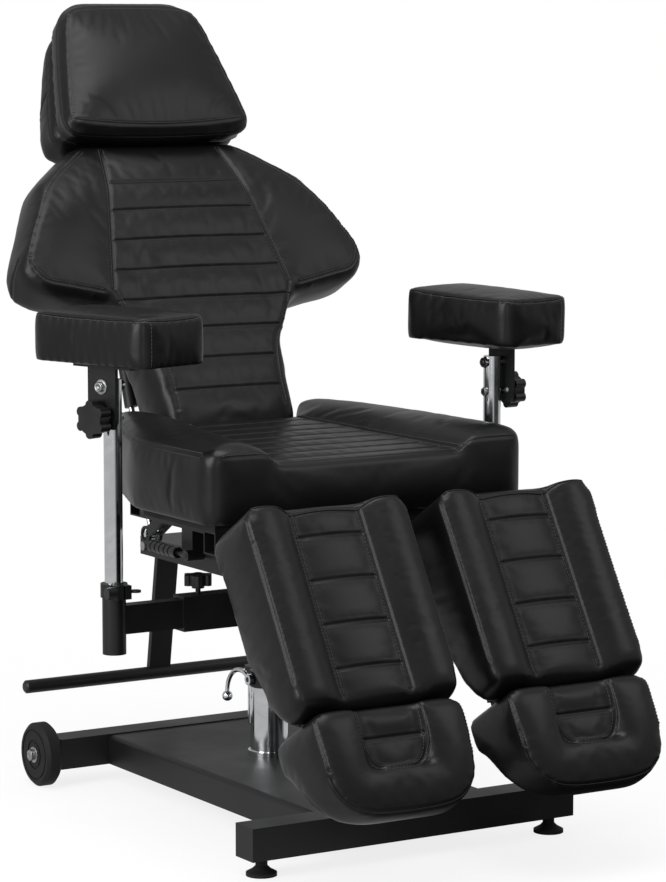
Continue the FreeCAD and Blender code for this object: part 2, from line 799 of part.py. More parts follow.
def plan_of(points, low, high):
    """A block with its outline in x and y, running from low to high in z."""
    wire = outline(points)
    wire.translate(Z * low)
    return slab(wire, high - low)


def section_of(points, start, end):
    """A block with its outline in x and z, running from start to end in y."""
    return placed(plan_of(points, -end, -start), Placement(Vector(0, 0, 0), Rotation(X, 90)))


def profile_of(points, half):
    """A block with its outline in y and z, reaching half to each side in x."""
    return placed(plan_of(points, -half, half), Placement(Vector(0, 0, 0), Rotation(X + Y + Z, 120)))


def round_upright(block, corners):
    """Rounds the upright edges nearest to the given (x, y, radius) corners."""
    for x, y, r in corners:
        upright = [e for e in block.Edges if e.BoundBox.ZLength > 2 * overrun
                   and e.BoundBox.XLength + e.BoundBox.YLength < fit]
        edge = min(upright, key=lambda e: math.hypot(e.CenterOfMass.x - x, e.CenterOfMass.y - y))
        block = block.makeFillet(r, [edge])
    return block


def one_solid(shape):
    """The largest solid of a result."""
    return max(shape.Solids, key=lambda solid: solid.Volume)


def groove(half, at, crown, y, high):
    """A cutter for a seam across a panel that reaches half to each side, its edges at height at."""
    floor = at - channel_cut_d
    half = half - channel_cut_w
    return section_of([(-half, floor, -crown), (half, floor), (half, high), (-half, high)],
                      y - channel_cut_w / 2, y + channel_cut_w / 2)


def bolstered(half, seam, panel_half, dip, rise, crown, low):
    """Points of a cross-section with a bolster along each side and a crowned panel between them."""
    reach = half + overrun
    return [(-reach, low), (reach, low), (reach, seam - overrun, rise), (panel_half, dip, crown),
            (-panel_half, dip, rise), (-reach, seam - overrun)]


def seat_points(inset):
    """The seat's plan: straight sides in front, closing in towards the back."""
    half = seat_half - inset
    rear_half = seat_rear_half - inset
    return [(-half, seat_front + inset), (half, seat_front + inset, -seat_draw), (half, seat_taper_y),
            (rear_half, seat_rear - inset), (-rear_half, seat_rear - inset), (-half, seat_taper_y, -seat_draw)]


def seat_notch(low, high):
    """The opening in the seat's rear that the foot of the back stands in."""
    beyond = seat_rear + overrun
    return plan_of([(-seat_notch_half, seat_notch_y), (seat_notch_half, seat_notch_y),
                    (seat_notch_rear_half, seat_rear), (seat_notch_rear_half, beyond),
                    (-seat_notch_rear_half, beyond), (-seat_notch_rear_half, seat_rear)], low, high)


def make_seat_cushion():
    low = seat_low + soft_gap
    seam = seat_low + seat_side_h
    high = seat_low + seat_high
    plan = round_upright(plan_of(seat_points(0), low, high),
                         [(side * seat_half, seat_front, seat_corner) for side in (-1, 1)]
                         + [(side * seat_half, seat_taper_y, seat_taper_r) for side in (-1, 1)]
                         + [(side * seat_rear_half, seat_rear, seat_rear_corner) for side in (-1, 1)])
    front = seat_front - overrun
    rear = seat_rear + overrun

    # The panel between the bolsters narrows and rises towards the back
    wires = []
    for y, panel_half, panel_h, rise in ((front, seat_panel_half, seat_panel_h, seat_bolster_rise),
                                         (rear, seat_panel_rear_half, seat_panel_rear_h, seat_bolster_rear_rise)):
        points = []
        for edge in outline(bolstered(seat_half, seam, panel_half, seat_low + panel_h, rise, 0, seat_low)).Edges:
            steps = bolster_steps if isinstance(edge.Curve, Part.Circle) else 1
            points += edge.discretize(steps + 1)[:-1]
        wire = Part.makePolygon(points + points[:1])
        wire.translate(Z * -y)
        wires.append(wire)
    section = placed(Part.makeLoft(wires, True, True), Placement(Vector(0, 0, 0), Rotation(X, 90)))
    profile = profile_of([(front, seat_low), (rear, seat_low), (rear, seam - overrun, seat_end_rise),
                          (rear - seat_end_slope / 2, high + overrun), (front + seat_end_slope, high + overrun,
                                                                        seat_end_rise),
                          (front, seam - overrun)], seat_half + overrun)
    pad = one_solid(plan.common(section).common(profile))
    pad = pad.cut(seat_notch(seat_low - overrun, high + overrun))
    pitch = (seat_notch_y - seat_front) / (seat_channels + 1)
    for i in range(seat_channels):
        y = seat_front + (i + 1) * pitch
        share = (y - front) / (rear - front)
        half = seat_panel_half + share * (seat_panel_rear_half - seat_panel_half)
        dip = seat_low + seat_panel_h + share * (seat_panel_rear_h - seat_panel_h)
        pad = pad.cut(groove(half, dip, 0, y, high + overrun))
    save("seat_cushion", one_solid(pad))


# Back, in its own frame: x across, y up the back from the hinge line, z towards the client

def make_back():
    bars = []
    half_t = back_bar_t / 2
    for side in (-1, 1):
        x0 = side * back_bar_x - back_bar_w / 2
        x1 = side * back_bar_x + back_bar_w / 2
        bar = box(x0, x1, 0, back_bar_top, -half_t, half_t)
        bar = bar.fuse(rod(half_t, Vector(x0, 0, 0), Vector(x1, 0, 0)))
        hollow = box(x0 + back_bar_wall, x1 - back_bar_wall, half_t + back_bar_wall,
                     back_bar_top + overrun, back_bar_wall - half_t, half_t - back_bar_wall)
        bar = bar.cut(hollow).cut(rod(back_pin_r + fit, Vector(x0 - overrun, 0, 0), Vector(x1 + overrun, 0, 0)))
        ear = rod(strut_pin_r, Vector(side * (back_bar_x + back_bar_w / 2 - back_bar_wall), strut_top_v, 0),
                  Vector(side * (strut_x + strut_eye_half), strut_top_v, 0))
        bars.append(bar.fuse(ear).removeSplitter())
        guide_in = side * (head_rod_x - half_t)
        guide_out = side * (back_bar_x - back_bar_w / 2)
        guide = box(min(guide_in, guide_out), max(guide_in, guide_out), head_guide_low, back_bar_top,
                    -half_t, half_t)
        bars.append(guide.cut(rod(head_rod_r + fit, Vector(side * head_rod_x, 0, 0),
                                  Vector(side * head_rod_x, back_bar_top + overrun, 0))))
    cross_half = back_bar_x - back_bar_w / 2
    for v in (waist_v, wing_tip_v):
        bars.append(tube_box(-cross_half, cross_half, v, v + back_bar_t, -half_t, half_t, back_bar_wall, "x"))
    save("back_frame", *[placed(bar, lean_back) for bar in bars])

    inset = seat_board_inset
    board = plan_of([(inset - back_low_half, back_low + inset), (back_low_half - inset, back_low + inset),
                     (waist_half - inset, waist_v), (wing_low_half, wing_tip_low_v + inset),
                     (wing_tip_half - 2 * inset, wing_tip_v + inset),
                     (wing_high_half - inset, wing_high_v - inset), (back_top_half - inset, back_top_v - inset),
                     (inset - back_top_half, back_top_v - inset), (inset - wing_high_half, wing_high_v - inset),
                     (2 * inset - wing_tip_half, wing_tip_v + inset), (-wing_low_half, wing_tip_low_v + inset),
                     (inset - waist_half, waist_v)], half_t, half_t + back_board_t)
    save("back_board", placed(board, lean_back))

    low = half_t + back_board_t + soft_gap
    side_points = [(back_low_half, back_low), (waist_half, waist_v, -back_side_draw),
                   (wing_low_half, wing_low_v), (wing_tip_low_half, wing_tip_low_v),
                   (wing_tip_half, wing_tip_v), (wing_high_half, wing_high_v), (back_top_half, back_top_v)]
    right = [(-p[0], p[1]) + tuple(p[2:]) for p in reversed(side_points)]
    plan = plan_of(side_points + right, low, back_high)
    plan = round_upright(plan, [(side * wing_tip_half, wing_tip_v, wing_tip_corner) for side in (-1, 1)]
                         + [(side * wing_tip_low_half, wing_tip_low_v, wing_tip_corner) for side in (-1, 1)]
                         + [(side * back_low_half, back_low, back_corner) for side in (-1, 1)]
                         + [(side * back_top_half, back_top_v, wing_corner) for side in (-1, 1)])
    edge_x = wing_tip_half - wing_edge_in
    half_section = [(wing_low_half, low), (wing_tip_half, low + wing_rear_lift),
                    (wing_tip_half, back_front + wing_lift - wing_edge_drop, wing_edge_drop / 4),
                    (edge_x, back_front + wing_lift), (back_panel_half, back_front, back_panel_crown)]
    other = [(-wing_low_half, low), (-wing_tip_half, low + wing_rear_lift),
             (-wing_tip_half, back_front + wing_lift - wing_edge_drop), (-edge_x, back_front + wing_lift),
             (-back_panel_half, back_front)]
    section = section_of(half_section + [other[4], other[3], other[2], other[1], other[0]],
                         back_low - overrun, back_top_v + overrun)
    start = back_low - overrun
    end = back_top_v + overrun
    edge = back_front - back_end_drop - overrun
    top = back_high + overrun
    profile = profile_of([(start, 0), (end, 0), (end, edge, back_end_bow), (wing_tip_v, top),
                          (start + back_end_slope, top, back_end_bow), (start, edge)],
                         wing_tip_half + overrun)
    pad = one_solid(plan.common(section).common(profile))
    for i in range(back_channels):
        v = back_channel_v + i * back_channel_pitch
        if v < wing_low_v:
            half = piping_waist_half + (piping_wing_half - piping_waist_half) * max(
                0, v - waist_v) / (wing_low_v - waist_v)
        else:
            half = piping_wing_half + (piping_top_half - piping_wing_half) * (v - wing_low_v) / (
                back_top_v - wing_low_v)
        pad = pad.cut(groove(min(half, back_panel_half), back_front, back_panel_crown, v, back_high))
    save("back_cushion", placed(one_solid(pad), lean_back))


# Recline struts: the cylinder swings on the back, the rod slides in it

def make_struts():
    top = lean_back.multVec(Vector(0, strut_top_v, 0))
    low = Vector(0, strut_low_y, strut_low_z)
    along = (low - top).normalize()
    length = (low - top).Length
    hold = Placement(top, Rotation(Z, along))
    for side, name in ((-1, "right"), (1, "left")):
        shift = Placement(Vector(side * strut_x, 0, 0), Rotation())
        eye = rod(strut_eye_r, Vector(-strut_eye_half, 0, 0), Vector(strut_eye_half, 0, 0))
        body = rod(strut_body_r, Vector(0, 0, strut_eye_r / 2), Vector(0, 0, length - strut_body_gap))
        body = body.fuse(eye).cut(rod(strut_rod_r + fit, Vector(0, 0, strut_bore_end),
                                      Vector(0, 0, length)))
        body = body.cut(rod(strut_pin_r + fit, Vector(-strut_body_r - overrun, 0, 0),
                            Vector(strut_body_r + overrun, 0, 0)))
        save("strut_cylinder_" + name, placed(placed(one_solid(body), hold), shift))

        stem = rod(strut_rod_r, Vector(0, 0, strut_bore_end + strut_stroke), Vector(0, 0, length))
        foot = rod(strut_eye_r, Vector(-strut_eye_half, 0, length), Vector(strut_eye_half, 0, length))
        reach = strut_eye_half + plate_gap + clevis_t
        pin = rod(strut_pin_r, Vector(-reach, 0, length), Vector(reach, 0, length))
        save("strut_rod_" + name, placed(placed(fused(stem, foot, pin), hold), shift))


# Lever that releases the struts

def make_release_lever():
    x = -(seat_leg_x + half_tube + plate_gap)
    hub = rod(release_hub_r, Vector(x, release_y, release_z), Vector(x - release_hub_w, release_y, release_z))
    start = Vector(x - release_stem_out, release_y, release_z)
    end = start + Y * release_rod_len
    stem = rod(release_rod_r, start, end)
    grip = Part.makeCylinder(grip_r, grip_len, end - Y * (grip_len - grip_over), Y)
    pitch = grip_len / (grip_ribs + 1)
    for i in range(grip_ribs):
        at = end - Y * (grip_len - grip_over - (i + 1) * pitch - grip_rib_depth)
        ring = Part.makeCylinder(grip_r + overrun, 2 * grip_rib_depth, at, Y)
        grip = grip.cut(ring.cut(Part.makeCylinder(grip_r - grip_rib_depth, 2 * grip_rib_depth, at, Y)))
    stem = fused(hub, stem).cut(rod(release_stud_r + fit, Vector(x + overrun, release_y, release_z),
                                    Vector(x - release_hub_w - overrun, release_y, release_z)))
    save("release_lever", stem, grip.cut(stem))


# Headrest, in the frame of its front face

def make_headrest():
    frame = leaning(Vector(0, head_foot_y, head_foot_z), head_lean)
    def shape_points(inset):
        low_half = pillow_low_half - inset
        top_half = pillow_top_half - inset
        return [(-low_half, inset, pillow_sag), (low_half, inset, pillow_draw), (top_half, pillow_h - inset),
                (-top_half, pillow_h - inset, pillow_draw)]

    plan = plan_of(shape_points(0), -pillow_t, pillow_crown)
    plan = round_upright(plan, [(side * pillow_low_half, 0, pillow_low_corner) for side in (-1, 1)]
                         + [(side * pillow_top_half, pillow_h, pillow_top_corner) for side in (-1, 1)])
    reach = pillow_low_half + overrun
    below = -pillow_sag - overrun
    section = section_of([(-reach, -pillow_t), (reach, -pillow_t), (reach, -pillow_crown, 2 * pillow_crown),
                          (-reach, -pillow_crown)], below, pillow_h + overrun)
    profile = profile_of([(below, -pillow_t), (pillow_h + overrun, -pillow_t),
                          (pillow_h + overrun, -pillow_crown, 2 * pillow_crown), (below, -pillow_crown)],
                         reach)
    pillow = one_solid(plan.common(section).common(profile))
    save("headrest_pillow", placed(pillow, frame))

    # Folded steel plate behind the pillow with the two rods that slide in the back
    face = -pillow_t - soft_gap
    inset = head_plate_inset
    plate = plan_of([(inset - pillow_low_half, 0), (pillow_low_half - inset, 0),
                     (pillow_top_half - inset, pillow_h - 2 * inset),
                     (inset - pillow_top_half, pillow_h - 2 * inset)], face - head_plate_t, face)
    foot_reach = pillow_t + rear_pad_low_t + head_plate_t + 2 * head_rod_r
    foot = box(-head_plate_foot_half, head_plate_foot_half, -head_plate_foot_t, 0, -foot_reach, face)
    to_back = lean_back.inverse().multiply(frame)
    rods = []
    for side in (-1, 1):
        start = Vector(side * head_rod_x, head_rod_low, 0)
        top = lean_back.inverse().multVec(frame.multVec(Vector(0, -head_plate_foot_t, -foot_reach)))
        end = Vector(side * head_rod_x, top.y + head_rod_over, 0)
        rods.append(placed(rod(head_rod_r, start, end), to_back.inverse()))
    above = plan_of([(-reach, 0), (reach, 0), (reach, pillow_h), (-reach, pillow_h)], -2 * foot_reach, 0)
    welded = fused(plate, foot, *rods).cut(above.cut(plate.fuse(foot)))
    save("headrest_frame", placed(one_solid(welded), frame))

    back_face = face - head_plate_t - soft_gap
    low_n = back_face - rear_pad_low_t
    top_n = back_face - rear_pad_top_t
    plan = plan_of(shape_points(rear_pad_inset), low_n - rear_pad_crown, back_face)
    plan = round_upright(plan, [(side * (pillow_low_half - rear_pad_inset), rear_pad_inset, pillow_low_corner)
                                for side in (-1, 1)]
                         + [(side * (pillow_top_half - rear_pad_inset), pillow_h - rear_pad_inset,
                             pillow_top_corner) for side in (-1, 1)])
    profile = profile_of([(0, back_face), (0, low_n, rear_pad_crown), (pillow_h, top_n), (pillow_h, back_face)],
                         reach)
    save("headrest_rear_pad", placed(one_solid(plan.common(profile)), frame))


# Leg rests, each in its own frame: x across from its middle, y down the leg from the hinge line, z out of its front

def make_legs():
    half = leg_tube / 2
    down = Rotation(X, 90 - leg_lean).multiply(Rotation(Z, 180))
    bore = leg_tube - 2 * leg_tube_wall
    inner = bore / 2 - fit
    for side, name in ((-1, "right"), (1, "left")):
        frame = Placement(Vector(side * leg_x, leg_hinge_y, leg_hinge_z), down)
        tubes = []
        inserts = []
        for way in (-1, 1):
            x = way * leg_tube_x
            tube = tube_box(x - half, x + half, -leg_tube_above, leg_tube_len, -half, half, leg_tube_wall, "y")
            tubes.append(tube.cut(rod(leg_pin_r + fit, Vector(x - leg_tube, 0, 0), Vector(x + leg_tube, 0, 0))))
            inserts.append(tube_box(x - inner, x + inner, foot_tube_from, foot_tube_to, -inner, inner,
                                    foot_tube_wall, "y"))
        board = box(-leg_board_half, leg_board_half, leg_board_from, leg_board_to, half, half + leg_board_t)
        save("leg_frame_" + name, *[placed(piece, frame) for piece in tubes + [board]])
        plate = box(-foot_plate_half, foot_plate_half, foot_from + foot_plate_t, foot_tube_to, inner,
                    inner + foot_plate_t)
        save("foot_frame_" + name, *[placed(piece, frame) for piece in inserts + [plate]])

        low = half + leg_board_t + soft_gap
        high = calf_front + 3 * calf_ridge
        plan = plan_of([(-calf_half, -calf_above), (calf_half, -calf_above, -calf_draw),
                        (calf_half, calf_heel_low), (-calf_half, calf_heel_low, -calf_draw)], 0, high)
        plan = round_upright(plan, [(way * calf_half, y, calf_corner) for way in (-1, 1)
                                    for y in (-calf_above, calf_heel_low)])
        dip = calf_front - calf_panel_drop
        section = section_of(bolstered(calf_half, calf_front, calf_panel_half, dip, 2 * calf_ridge,
                                       calf_panel_crown, 0), -calf_above - overrun, calf_heel_low + overrun)
        start = -calf_above - overrun
        profile = profile_of([(start, low), (calf_back_low, low), (calf_back_mid, calf_back_mid_n),
                              (calf_heel_low, calf_heel_n, calf_draw), (calf_low, calf_front),
                              (calf_low - calf_above, high), (0, high), (start, calf_front - overrun)],
                             calf_half + overrun)
        pad = one_solid(plan.common(section).common(profile))
        for i in range(calf_channels):
            pad = pad.cut(groove(calf_panel_half, dip, calf_panel_crown,
                                 calf_channel_from + i * calf_channel_pitch, high))
        save("calf_cushion_" + name, placed(one_solid(pad), frame))

        low = inner + foot_plate_t + soft_gap
        high = foot_seam_from + 3 * calf_ridge
        plan = plan_of([(-foot_half, foot_from), (foot_half, foot_from), (foot_low_half, foot_to),
                        (-foot_low_half, foot_to)], 0, high)
        plan = round_upright(plan, [(way * foot_half, foot_from, foot_top_corner) for way in (-1, 1)]
                             + [(way * foot_low_half, foot_to, foot_low_corner) for way in (-1, 1)])
        section = section_of(bolstered(foot_half, foot_seam_from, foot_panel_half, foot_seam_from,
                                       calf_ridge, calf_ridge / 2, 0), foot_from - overrun, foot_to + overrun)
        profile = profile_of([(foot_from, low), (foot_heel_v, low), (foot_toe_v, foot_toe_n, calf_draw),
                              (foot_to, foot_seam_to - calf_ridge), (foot_to - calf_ridge, foot_seam_to, calf_ridge),
                              (foot_from, foot_seam_from)], foot_half + overrun)
        pad = one_solid(plan.common(section).common(profile))
        lean = math.degrees(math.atan2(foot_seam_from - foot_seam_to, foot_to - foot_from))
        recess = box(-foot_panel_half, foot_panel_half, -foot_panel_len, foot_panel_len, -foot_panel_drop, high)
        recess = placed(recess, Placement(Vector(0, foot_from, foot_seam_from), Rotation(X, -lean)))
        save("foot_cushion_" + name, placed(one_solid(pad.cut(recess)), frame))


# Armrests: tube and socket, collar, post, bracket, pad and knobs

def make_arm(side, name, yaw):
    x = side * post_x
    half_w = arm_tube_w / 2
    half_h = arm_tube_h / 2
    reach = tube_box(min(side * arm_tube_inner_x, x), max(side * arm_tube_inner_x, x), post_y - half_w,
                     post_y + half_w, arm_tube_z - half_h, arm_tube_z + half_h, arm_tube_wall, "x")
    socket = Part.makeCylinder(socket_r, socket_top - socket_low, Vector(x, post_y, socket_low))
    inner = Part.makeCylinder(post_r + fit, socket_top, Vector(x, post_y, socket_low - overrun))
    save("arm_tube_" + name, one_solid(reach.fuse(socket).cut(inner)))

    # Split collar that clamps the post and turns with it on the socket, and its screw
    low = socket_top + fit
    middle = low + collar_h / 2
    bolt_y = collar_bolt_in - collar_ear_y
    stand = Placement(Vector(x, post_y, 0), Rotation())
    collar = Part.makeCylinder(collar_r, collar_h, Z * low)
    collar = collar.fuse(box(-collar_ear_w, collar_ear_w, -collar_ear_y, 0, low, low + collar_h))
    collar = collar.cut(Part.makeCylinder(post_r + fit, socket_top, Z * (low - overrun)))
    collar = collar.cut(box(-collar_slit / 2, collar_slit / 2, -collar_ear_y - overrun, 0, low - overrun,
                            low + collar_h + overrun))
    collar = collar.cut(rod(clamp_bolt_r + fit, Vector(-collar_ear_y, bolt_y, middle),
                            Vector(collar_ear_y, bolt_y, middle)))
    save("post_collar_" + name, placed(one_solid(collar), stand))

    knob_in = side * (collar_ear_w + fit)
    loop_x = -side * (collar_ear_w + clamp_bolt_r + clamp_loop_r)
    screw = rod(clamp_bolt_r, Vector(knob_in, bolt_y, middle),
                Vector(-side * (collar_ear_w + clamp_bolt_r), bolt_y, middle))
    grip = rod(clamp_knob_r, Vector(knob_in, bolt_y, middle),
               Vector(knob_in + side * clamp_knob_len, bolt_y, middle))
    loop = Part.makeCylinder(clamp_loop_r + clamp_wire_r, 2 * clamp_wire_r,
                             Vector(loop_x, bolt_y, middle - clamp_wire_r))
    loop = loop.cut(Part.makeCylinder(clamp_loop_r - clamp_wire_r, socket_top, Vector(loop_x, bolt_y, socket_low)))
    save("collar_screw_" + name, placed(fused(screw, grip, loop), stand))

    # Everything above the post follows the pad's yaw
    stand = Placement(Vector(x, post_y, 0), Rotation(Z, yaw))
    post = Part.makeCylinder(post_r, post_top - post_low, Z * post_low)
    pin_out = side * (bracket_off + bracket_t + tilt_pin_head)
    pin_in = -side * (post_r + tilt_pin_head)
    pin = rod(tilt_pin_r, Vector(pin_in, 0, tilt_pin_z), Vector(pin_out, 0, tilt_pin_z))
    cap = rod(tilt_pin_head_r, Vector(pin_in, 0, tilt_pin_z), Vector(-side * (post_r - 2 * fit), 0, tilt_pin_z))
    boss = rod(tilt_pin_head_r, Vector(0, 0, tilt_pin_z), Vector(side * (bracket_off - fit), 0, tilt_pin_z))
    keeper = rod(tilt_pin_head_r, Vector(side * (bracket_off + bracket_t + fit), 0, tilt_pin_z),
                 Vector(pin_out, 0, tilt_pin_z))
    knob_z = tilt_pin_z - knob_drop
    stud = rod(knob_stud_r, Vector(-side * (post_r + tilt_pin_head), 0, knob_z),
               Vector(side * (bracket_off + bracket_t + knob_neck + knob_t / 2), 0, knob_z))
    save("arm_post_" + name, placed(fused(post, pin, cap, boss, keeper, stud), stand))

    plate_in = side * bracket_off
    plate_out = side * (bracket_off + bracket_t)
    plate = bracket_plate(min(plate_in, plate_out), max(plate_in, plate_out))
    flange_x = sorted((-side * bracket_reach_in, plate_out))
    flange = box(flange_x[0], flange_x[1], -bracket_flange_half, bracket_flange_half, bracket_top - bracket_t,
                 bracket_top)
    bracket = fused(plate, flange).cut(rod(tilt_pin_r + fit, Vector(plate_in - side * overrun, 0, tilt_pin_z),
                                           Vector(plate_out + side * overrun, 0, tilt_pin_z)))
    save("arm_bracket_" + name, placed(bracket, stand))

    knob = star_knob().cut(Part.makeCylinder(knob_stud_r + fit, knob_neck + knob_t / 2 + plate_gap))
    knob = to_x(knob, side * (bracket_off + bracket_t + plate_gap), 0, knob_z, side)
    save("tilt_knob_" + name, placed(knob, stand))

    pad = placed(arm_pad(), Placement(Vector(-side * pad_in, 0, 0), Rotation()))
    save("arm_pad_" + name, placed(pad, stand))

    small = star_knob()
    small.scale(tube_knob_share)
    small.translate(Z * (cross_tube_top + tube_knob_stem))
    stem = Part.makeCylinder(knob_stud_r, tube_knob_stem + cross_tube_wall, Z * (cross_tube_top - cross_tube_wall))
    at = Placement(Vector(side * tube_knob_x, post_y, 0), Rotation())
    save("tube_knob_" + name, placed(fused(small, stem), at))


def bracket_plate(x0, x1):
    """The tilt plate: square at the top, round below, with a slot curved about the tilt pin."""
    low = tilt_pin_z - knob_drop
    body = box(x0, x1, -bracket_half, bracket_half, low, bracket_top)
    body = body.fuse(rod(bracket_half, Vector(x0, 0, low), Vector(x1, 0, low)))
    body = body.common(box(x0, x1, -bracket_half, bracket_half, low - bracket_rim - knob_stud_r, bracket_top))
    wide = knob_drop + knob_stud_r + plate_gap
    narrow = knob_drop - knob_stud_r - plate_gap
    start = Vector(x0 - overrun, 0, tilt_pin_z)
    end = Vector(x1 + overrun, 0, tilt_pin_z)
    ring = rod(wide, start, end).cut(rod(narrow, start, end))
    reach = wide * math.tan(math.radians(tilt_limit))
    wedge = Part.makePolygon([start, start + Vector(0, -reach, -wide), start + Vector(0, reach, -wide), start])
    slot = ring.common(Part.Face(wedge).extrude(end - start))
    for way in (-1, 1):
        turn = math.radians(way * tilt_limit)
        foot = Vector(0, knob_drop * math.sin(turn), -knob_drop * math.cos(turn))
        slot = slot.fuse(rod(knob_stud_r + plate_gap, start + foot, end + foot))
    return body.cut(slot)


def arm_pad():
    low = bracket_top + soft_gap
    high = low + pad_h
    half_l = pad_len / 2
    half_w = pad_wid / 2
    plan = plan_of([(-half_w, -half_l, -pad_draw), (half_w, -half_l, -pad_draw), (half_w, half_l, -pad_draw),
                    (-half_w, half_l, -pad_draw)], low, high)
    plan = round_upright(plan, [(sx * half_w, sy * half_l, pad_corner) for sx in (-1, 1) for sy in (-1, 1)])
    section = section_of([(-half_w, low), (half_w, low), (half_w, high - pad_crown, pad_crown),
                          (-half_w, high - pad_crown)], -half_l, half_l)
    profile = profile_of([(-half_l, low), (half_l, low), (half_l, high - pad_crown, pad_crown),
                          (-half_l, high - pad_crown)], half_w)
    return one_solid(plan.common(section).common(profile))


make_base()
make_column()
make_pedal()
make_seat_frame()
make_seat_cushion()
make_back()
make_struts()
make_release_lever()
make_headrest()
make_legs()
make_arm(-1, "right", right_yaw)
make_arm(1, "left", left_yaw)
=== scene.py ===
import bpy
import bmesh
import math
from mathutils import Matrix, Vector, kdtree
from mathutils.bvhtree import BVHTree


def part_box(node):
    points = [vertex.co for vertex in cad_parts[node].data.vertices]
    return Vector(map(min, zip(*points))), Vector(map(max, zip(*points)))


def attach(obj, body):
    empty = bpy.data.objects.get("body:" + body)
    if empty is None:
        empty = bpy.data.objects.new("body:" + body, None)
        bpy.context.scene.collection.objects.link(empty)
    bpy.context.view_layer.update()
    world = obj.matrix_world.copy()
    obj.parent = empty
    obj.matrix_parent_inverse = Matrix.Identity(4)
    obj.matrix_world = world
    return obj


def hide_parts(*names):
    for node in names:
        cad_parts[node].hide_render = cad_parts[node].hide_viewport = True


# Tattoo chair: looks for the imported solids. Metres, in the frame of the CAD.
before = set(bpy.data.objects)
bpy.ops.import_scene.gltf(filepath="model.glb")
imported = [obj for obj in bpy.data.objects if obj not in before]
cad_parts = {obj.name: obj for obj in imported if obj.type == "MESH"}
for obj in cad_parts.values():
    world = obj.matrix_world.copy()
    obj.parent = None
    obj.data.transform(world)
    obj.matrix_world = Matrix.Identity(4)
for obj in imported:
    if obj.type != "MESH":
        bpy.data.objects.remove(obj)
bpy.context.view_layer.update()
scene = bpy.context.scene
MM = 0.001
# The sitter's right is at -x
SIDES = ((-1, "right"), (1, "left"))


# Materials

# Grains per metre: the leather's pebbles, drawn larger than the real 0.7 mm so that they show, and the
# turns of the thread
PEBBLES = 620.0
TWISTS = 500.0


def linear(colour):
    """An sRGB hex colour as the linear values a shader takes."""
    parts = [int(colour[i:i + 2], 16) / 255 for i in (1, 3, 5)]
    return [p / 12.92 if p <= 0.04045 else ((p + 0.055) / 1.055) ** 2.4 for p in parts] + [1]


def add(tree, kind, inputs, **settings):
    """Adds a shader node; an input given as a socket is linked, any other value is set on it."""
    made = tree.nodes.new("ShaderNode" + kind)
    for name, value in settings.items():
        setattr(made, name, value)
    for name, value in inputs.items():
        if isinstance(value, bpy.types.NodeSocket):
            tree.links.new(value, made.inputs[name])
        else:
            made.inputs[name].default_value = value
    return made


def finish_of(name, metal=0, specular=0.5):
    """A new material with its shader, and the piece's own coordinates in metres."""
    made = bpy.data.materials.new(name)
    made.use_nodes = True
    tree = made.node_tree
    shader = tree.nodes["Principled BSDF"]
    shader.inputs["Metallic"].default_value = metal
    shader.inputs["Specular IOR Level"].default_value = specular
    return made, tree, shader, add(tree, "TexCoord", {}).outputs["Object"]


def speckle(tree, where, size, detail=2.0, rough=0.5, warp=0.0):
    """Cloudy noise whose blotches are about size metres across."""
    return add(tree, "TexNoise", {"Vector": where, "Scale": 0.5 / size, "Detail": detail,
                                  "Roughness": rough, "Distortion": warp}).outputs["Fac"]


def ranged(tree, value, low, high, start=0.3, end=0.7):
    """Maps a pattern onto the range from low to high."""
    return add(tree, "MapRange", {"Value": value, "From Min": start, "From Max": end,
                                  "To Min": low, "To Max": high}).outputs["Result"]


def tinted(tree, amount, dark, light):
    """A colour between two hex colours."""
    return add(tree, "Mix", {0: amount, 6: linear(dark), 7: linear(light)}, data_type="RGBA").outputs[2]


def combined(tree, first, second, operation="ADD"):
    return add(tree, "Math", {0: first, 1: second}, operation=operation).outputs[0]


def dress(tree, shader, colour, roughness, height, depth, strength=1.0):
    """Links colour, roughness and a bump of the given depth in metres to a shader."""
    bump = add(tree, "Bump", {"Height": height, "Distance": depth, "Strength": strength})
    tree.links.new(colour, shader.inputs["Base Color"])
    tree.links.new(roughness, shader.inputs["Roughness"])
    tree.links.new(bump.outputs["Normal"], shader.inputs["Normal"])


def pu_leather():
    """Soft black polyurethane leather: fine pebble grain, slow wrinkles, duller along its seams."""
    made, tree, shader, where = finish_of("black PU leather", specular=0.26)
    near = add(tree, "Attribute", {}, attribute_name="seam").outputs["Fac"]
    pebble = add(tree, "TexVoronoi", {"Vector": where, "Scale": PEBBLES, "Smoothness": 0.6},
                 feature="SMOOTH_F1")
    wrinkle = speckle(tree, where, 16 * MM, 5, 0.55, 0.8)
    cloud = speckle(tree, where, 70 * MM, 3)
    height = combined(tree, combined(tree, pebble.outputs["Distance"], 0.25, "MULTIPLY"), wrinkle)
    colour = tinted(tree, ranged(tree, cloud, 0, 1), "#0b0b0c", "#101011")
    rough = combined(tree, ranged(tree, cloud, 0.31, 0.38), combined(tree, near, 0.06, "MULTIPLY"))
    dress(tree, shader, colour, rough, height, 0.5 * MM, 0.4)
    return made


def sewing_thread():
    """Bonded nylon thread, a little greyer than the leather, with its twist."""
    made, tree, shader, where = finish_of("grey nylon thread", specular=0.3)
    twist = add(tree, "TexWave", {"Vector": where, "Scale": TWISTS, "Distortion": 2.0}).outputs["Fac"]
    dress(tree, shader, tinted(tree, twist, "#2e2e30", "#505052"), ranged(tree, twist, 0.55, 0.7), twist,
          0.1 * MM)
    return made


def powder_coat():
    """Black powder-coated steel with orange peel and a little dust."""
    made, tree, shader, where = finish_of("black powder-coated steel", specular=0.35)
    peel = speckle(tree, where, 1.6 * MM, 2)
    cloud = speckle(tree, where, 60 * MM, 4)
    colour = tinted(tree, ranged(tree, cloud, 0, 1), "#0f0f10", "#181819")
    dress(tree, shader, colour, ranged(tree, cloud, 0.40, 0.52), peel, 0.12 * MM, 0.6)
    return made


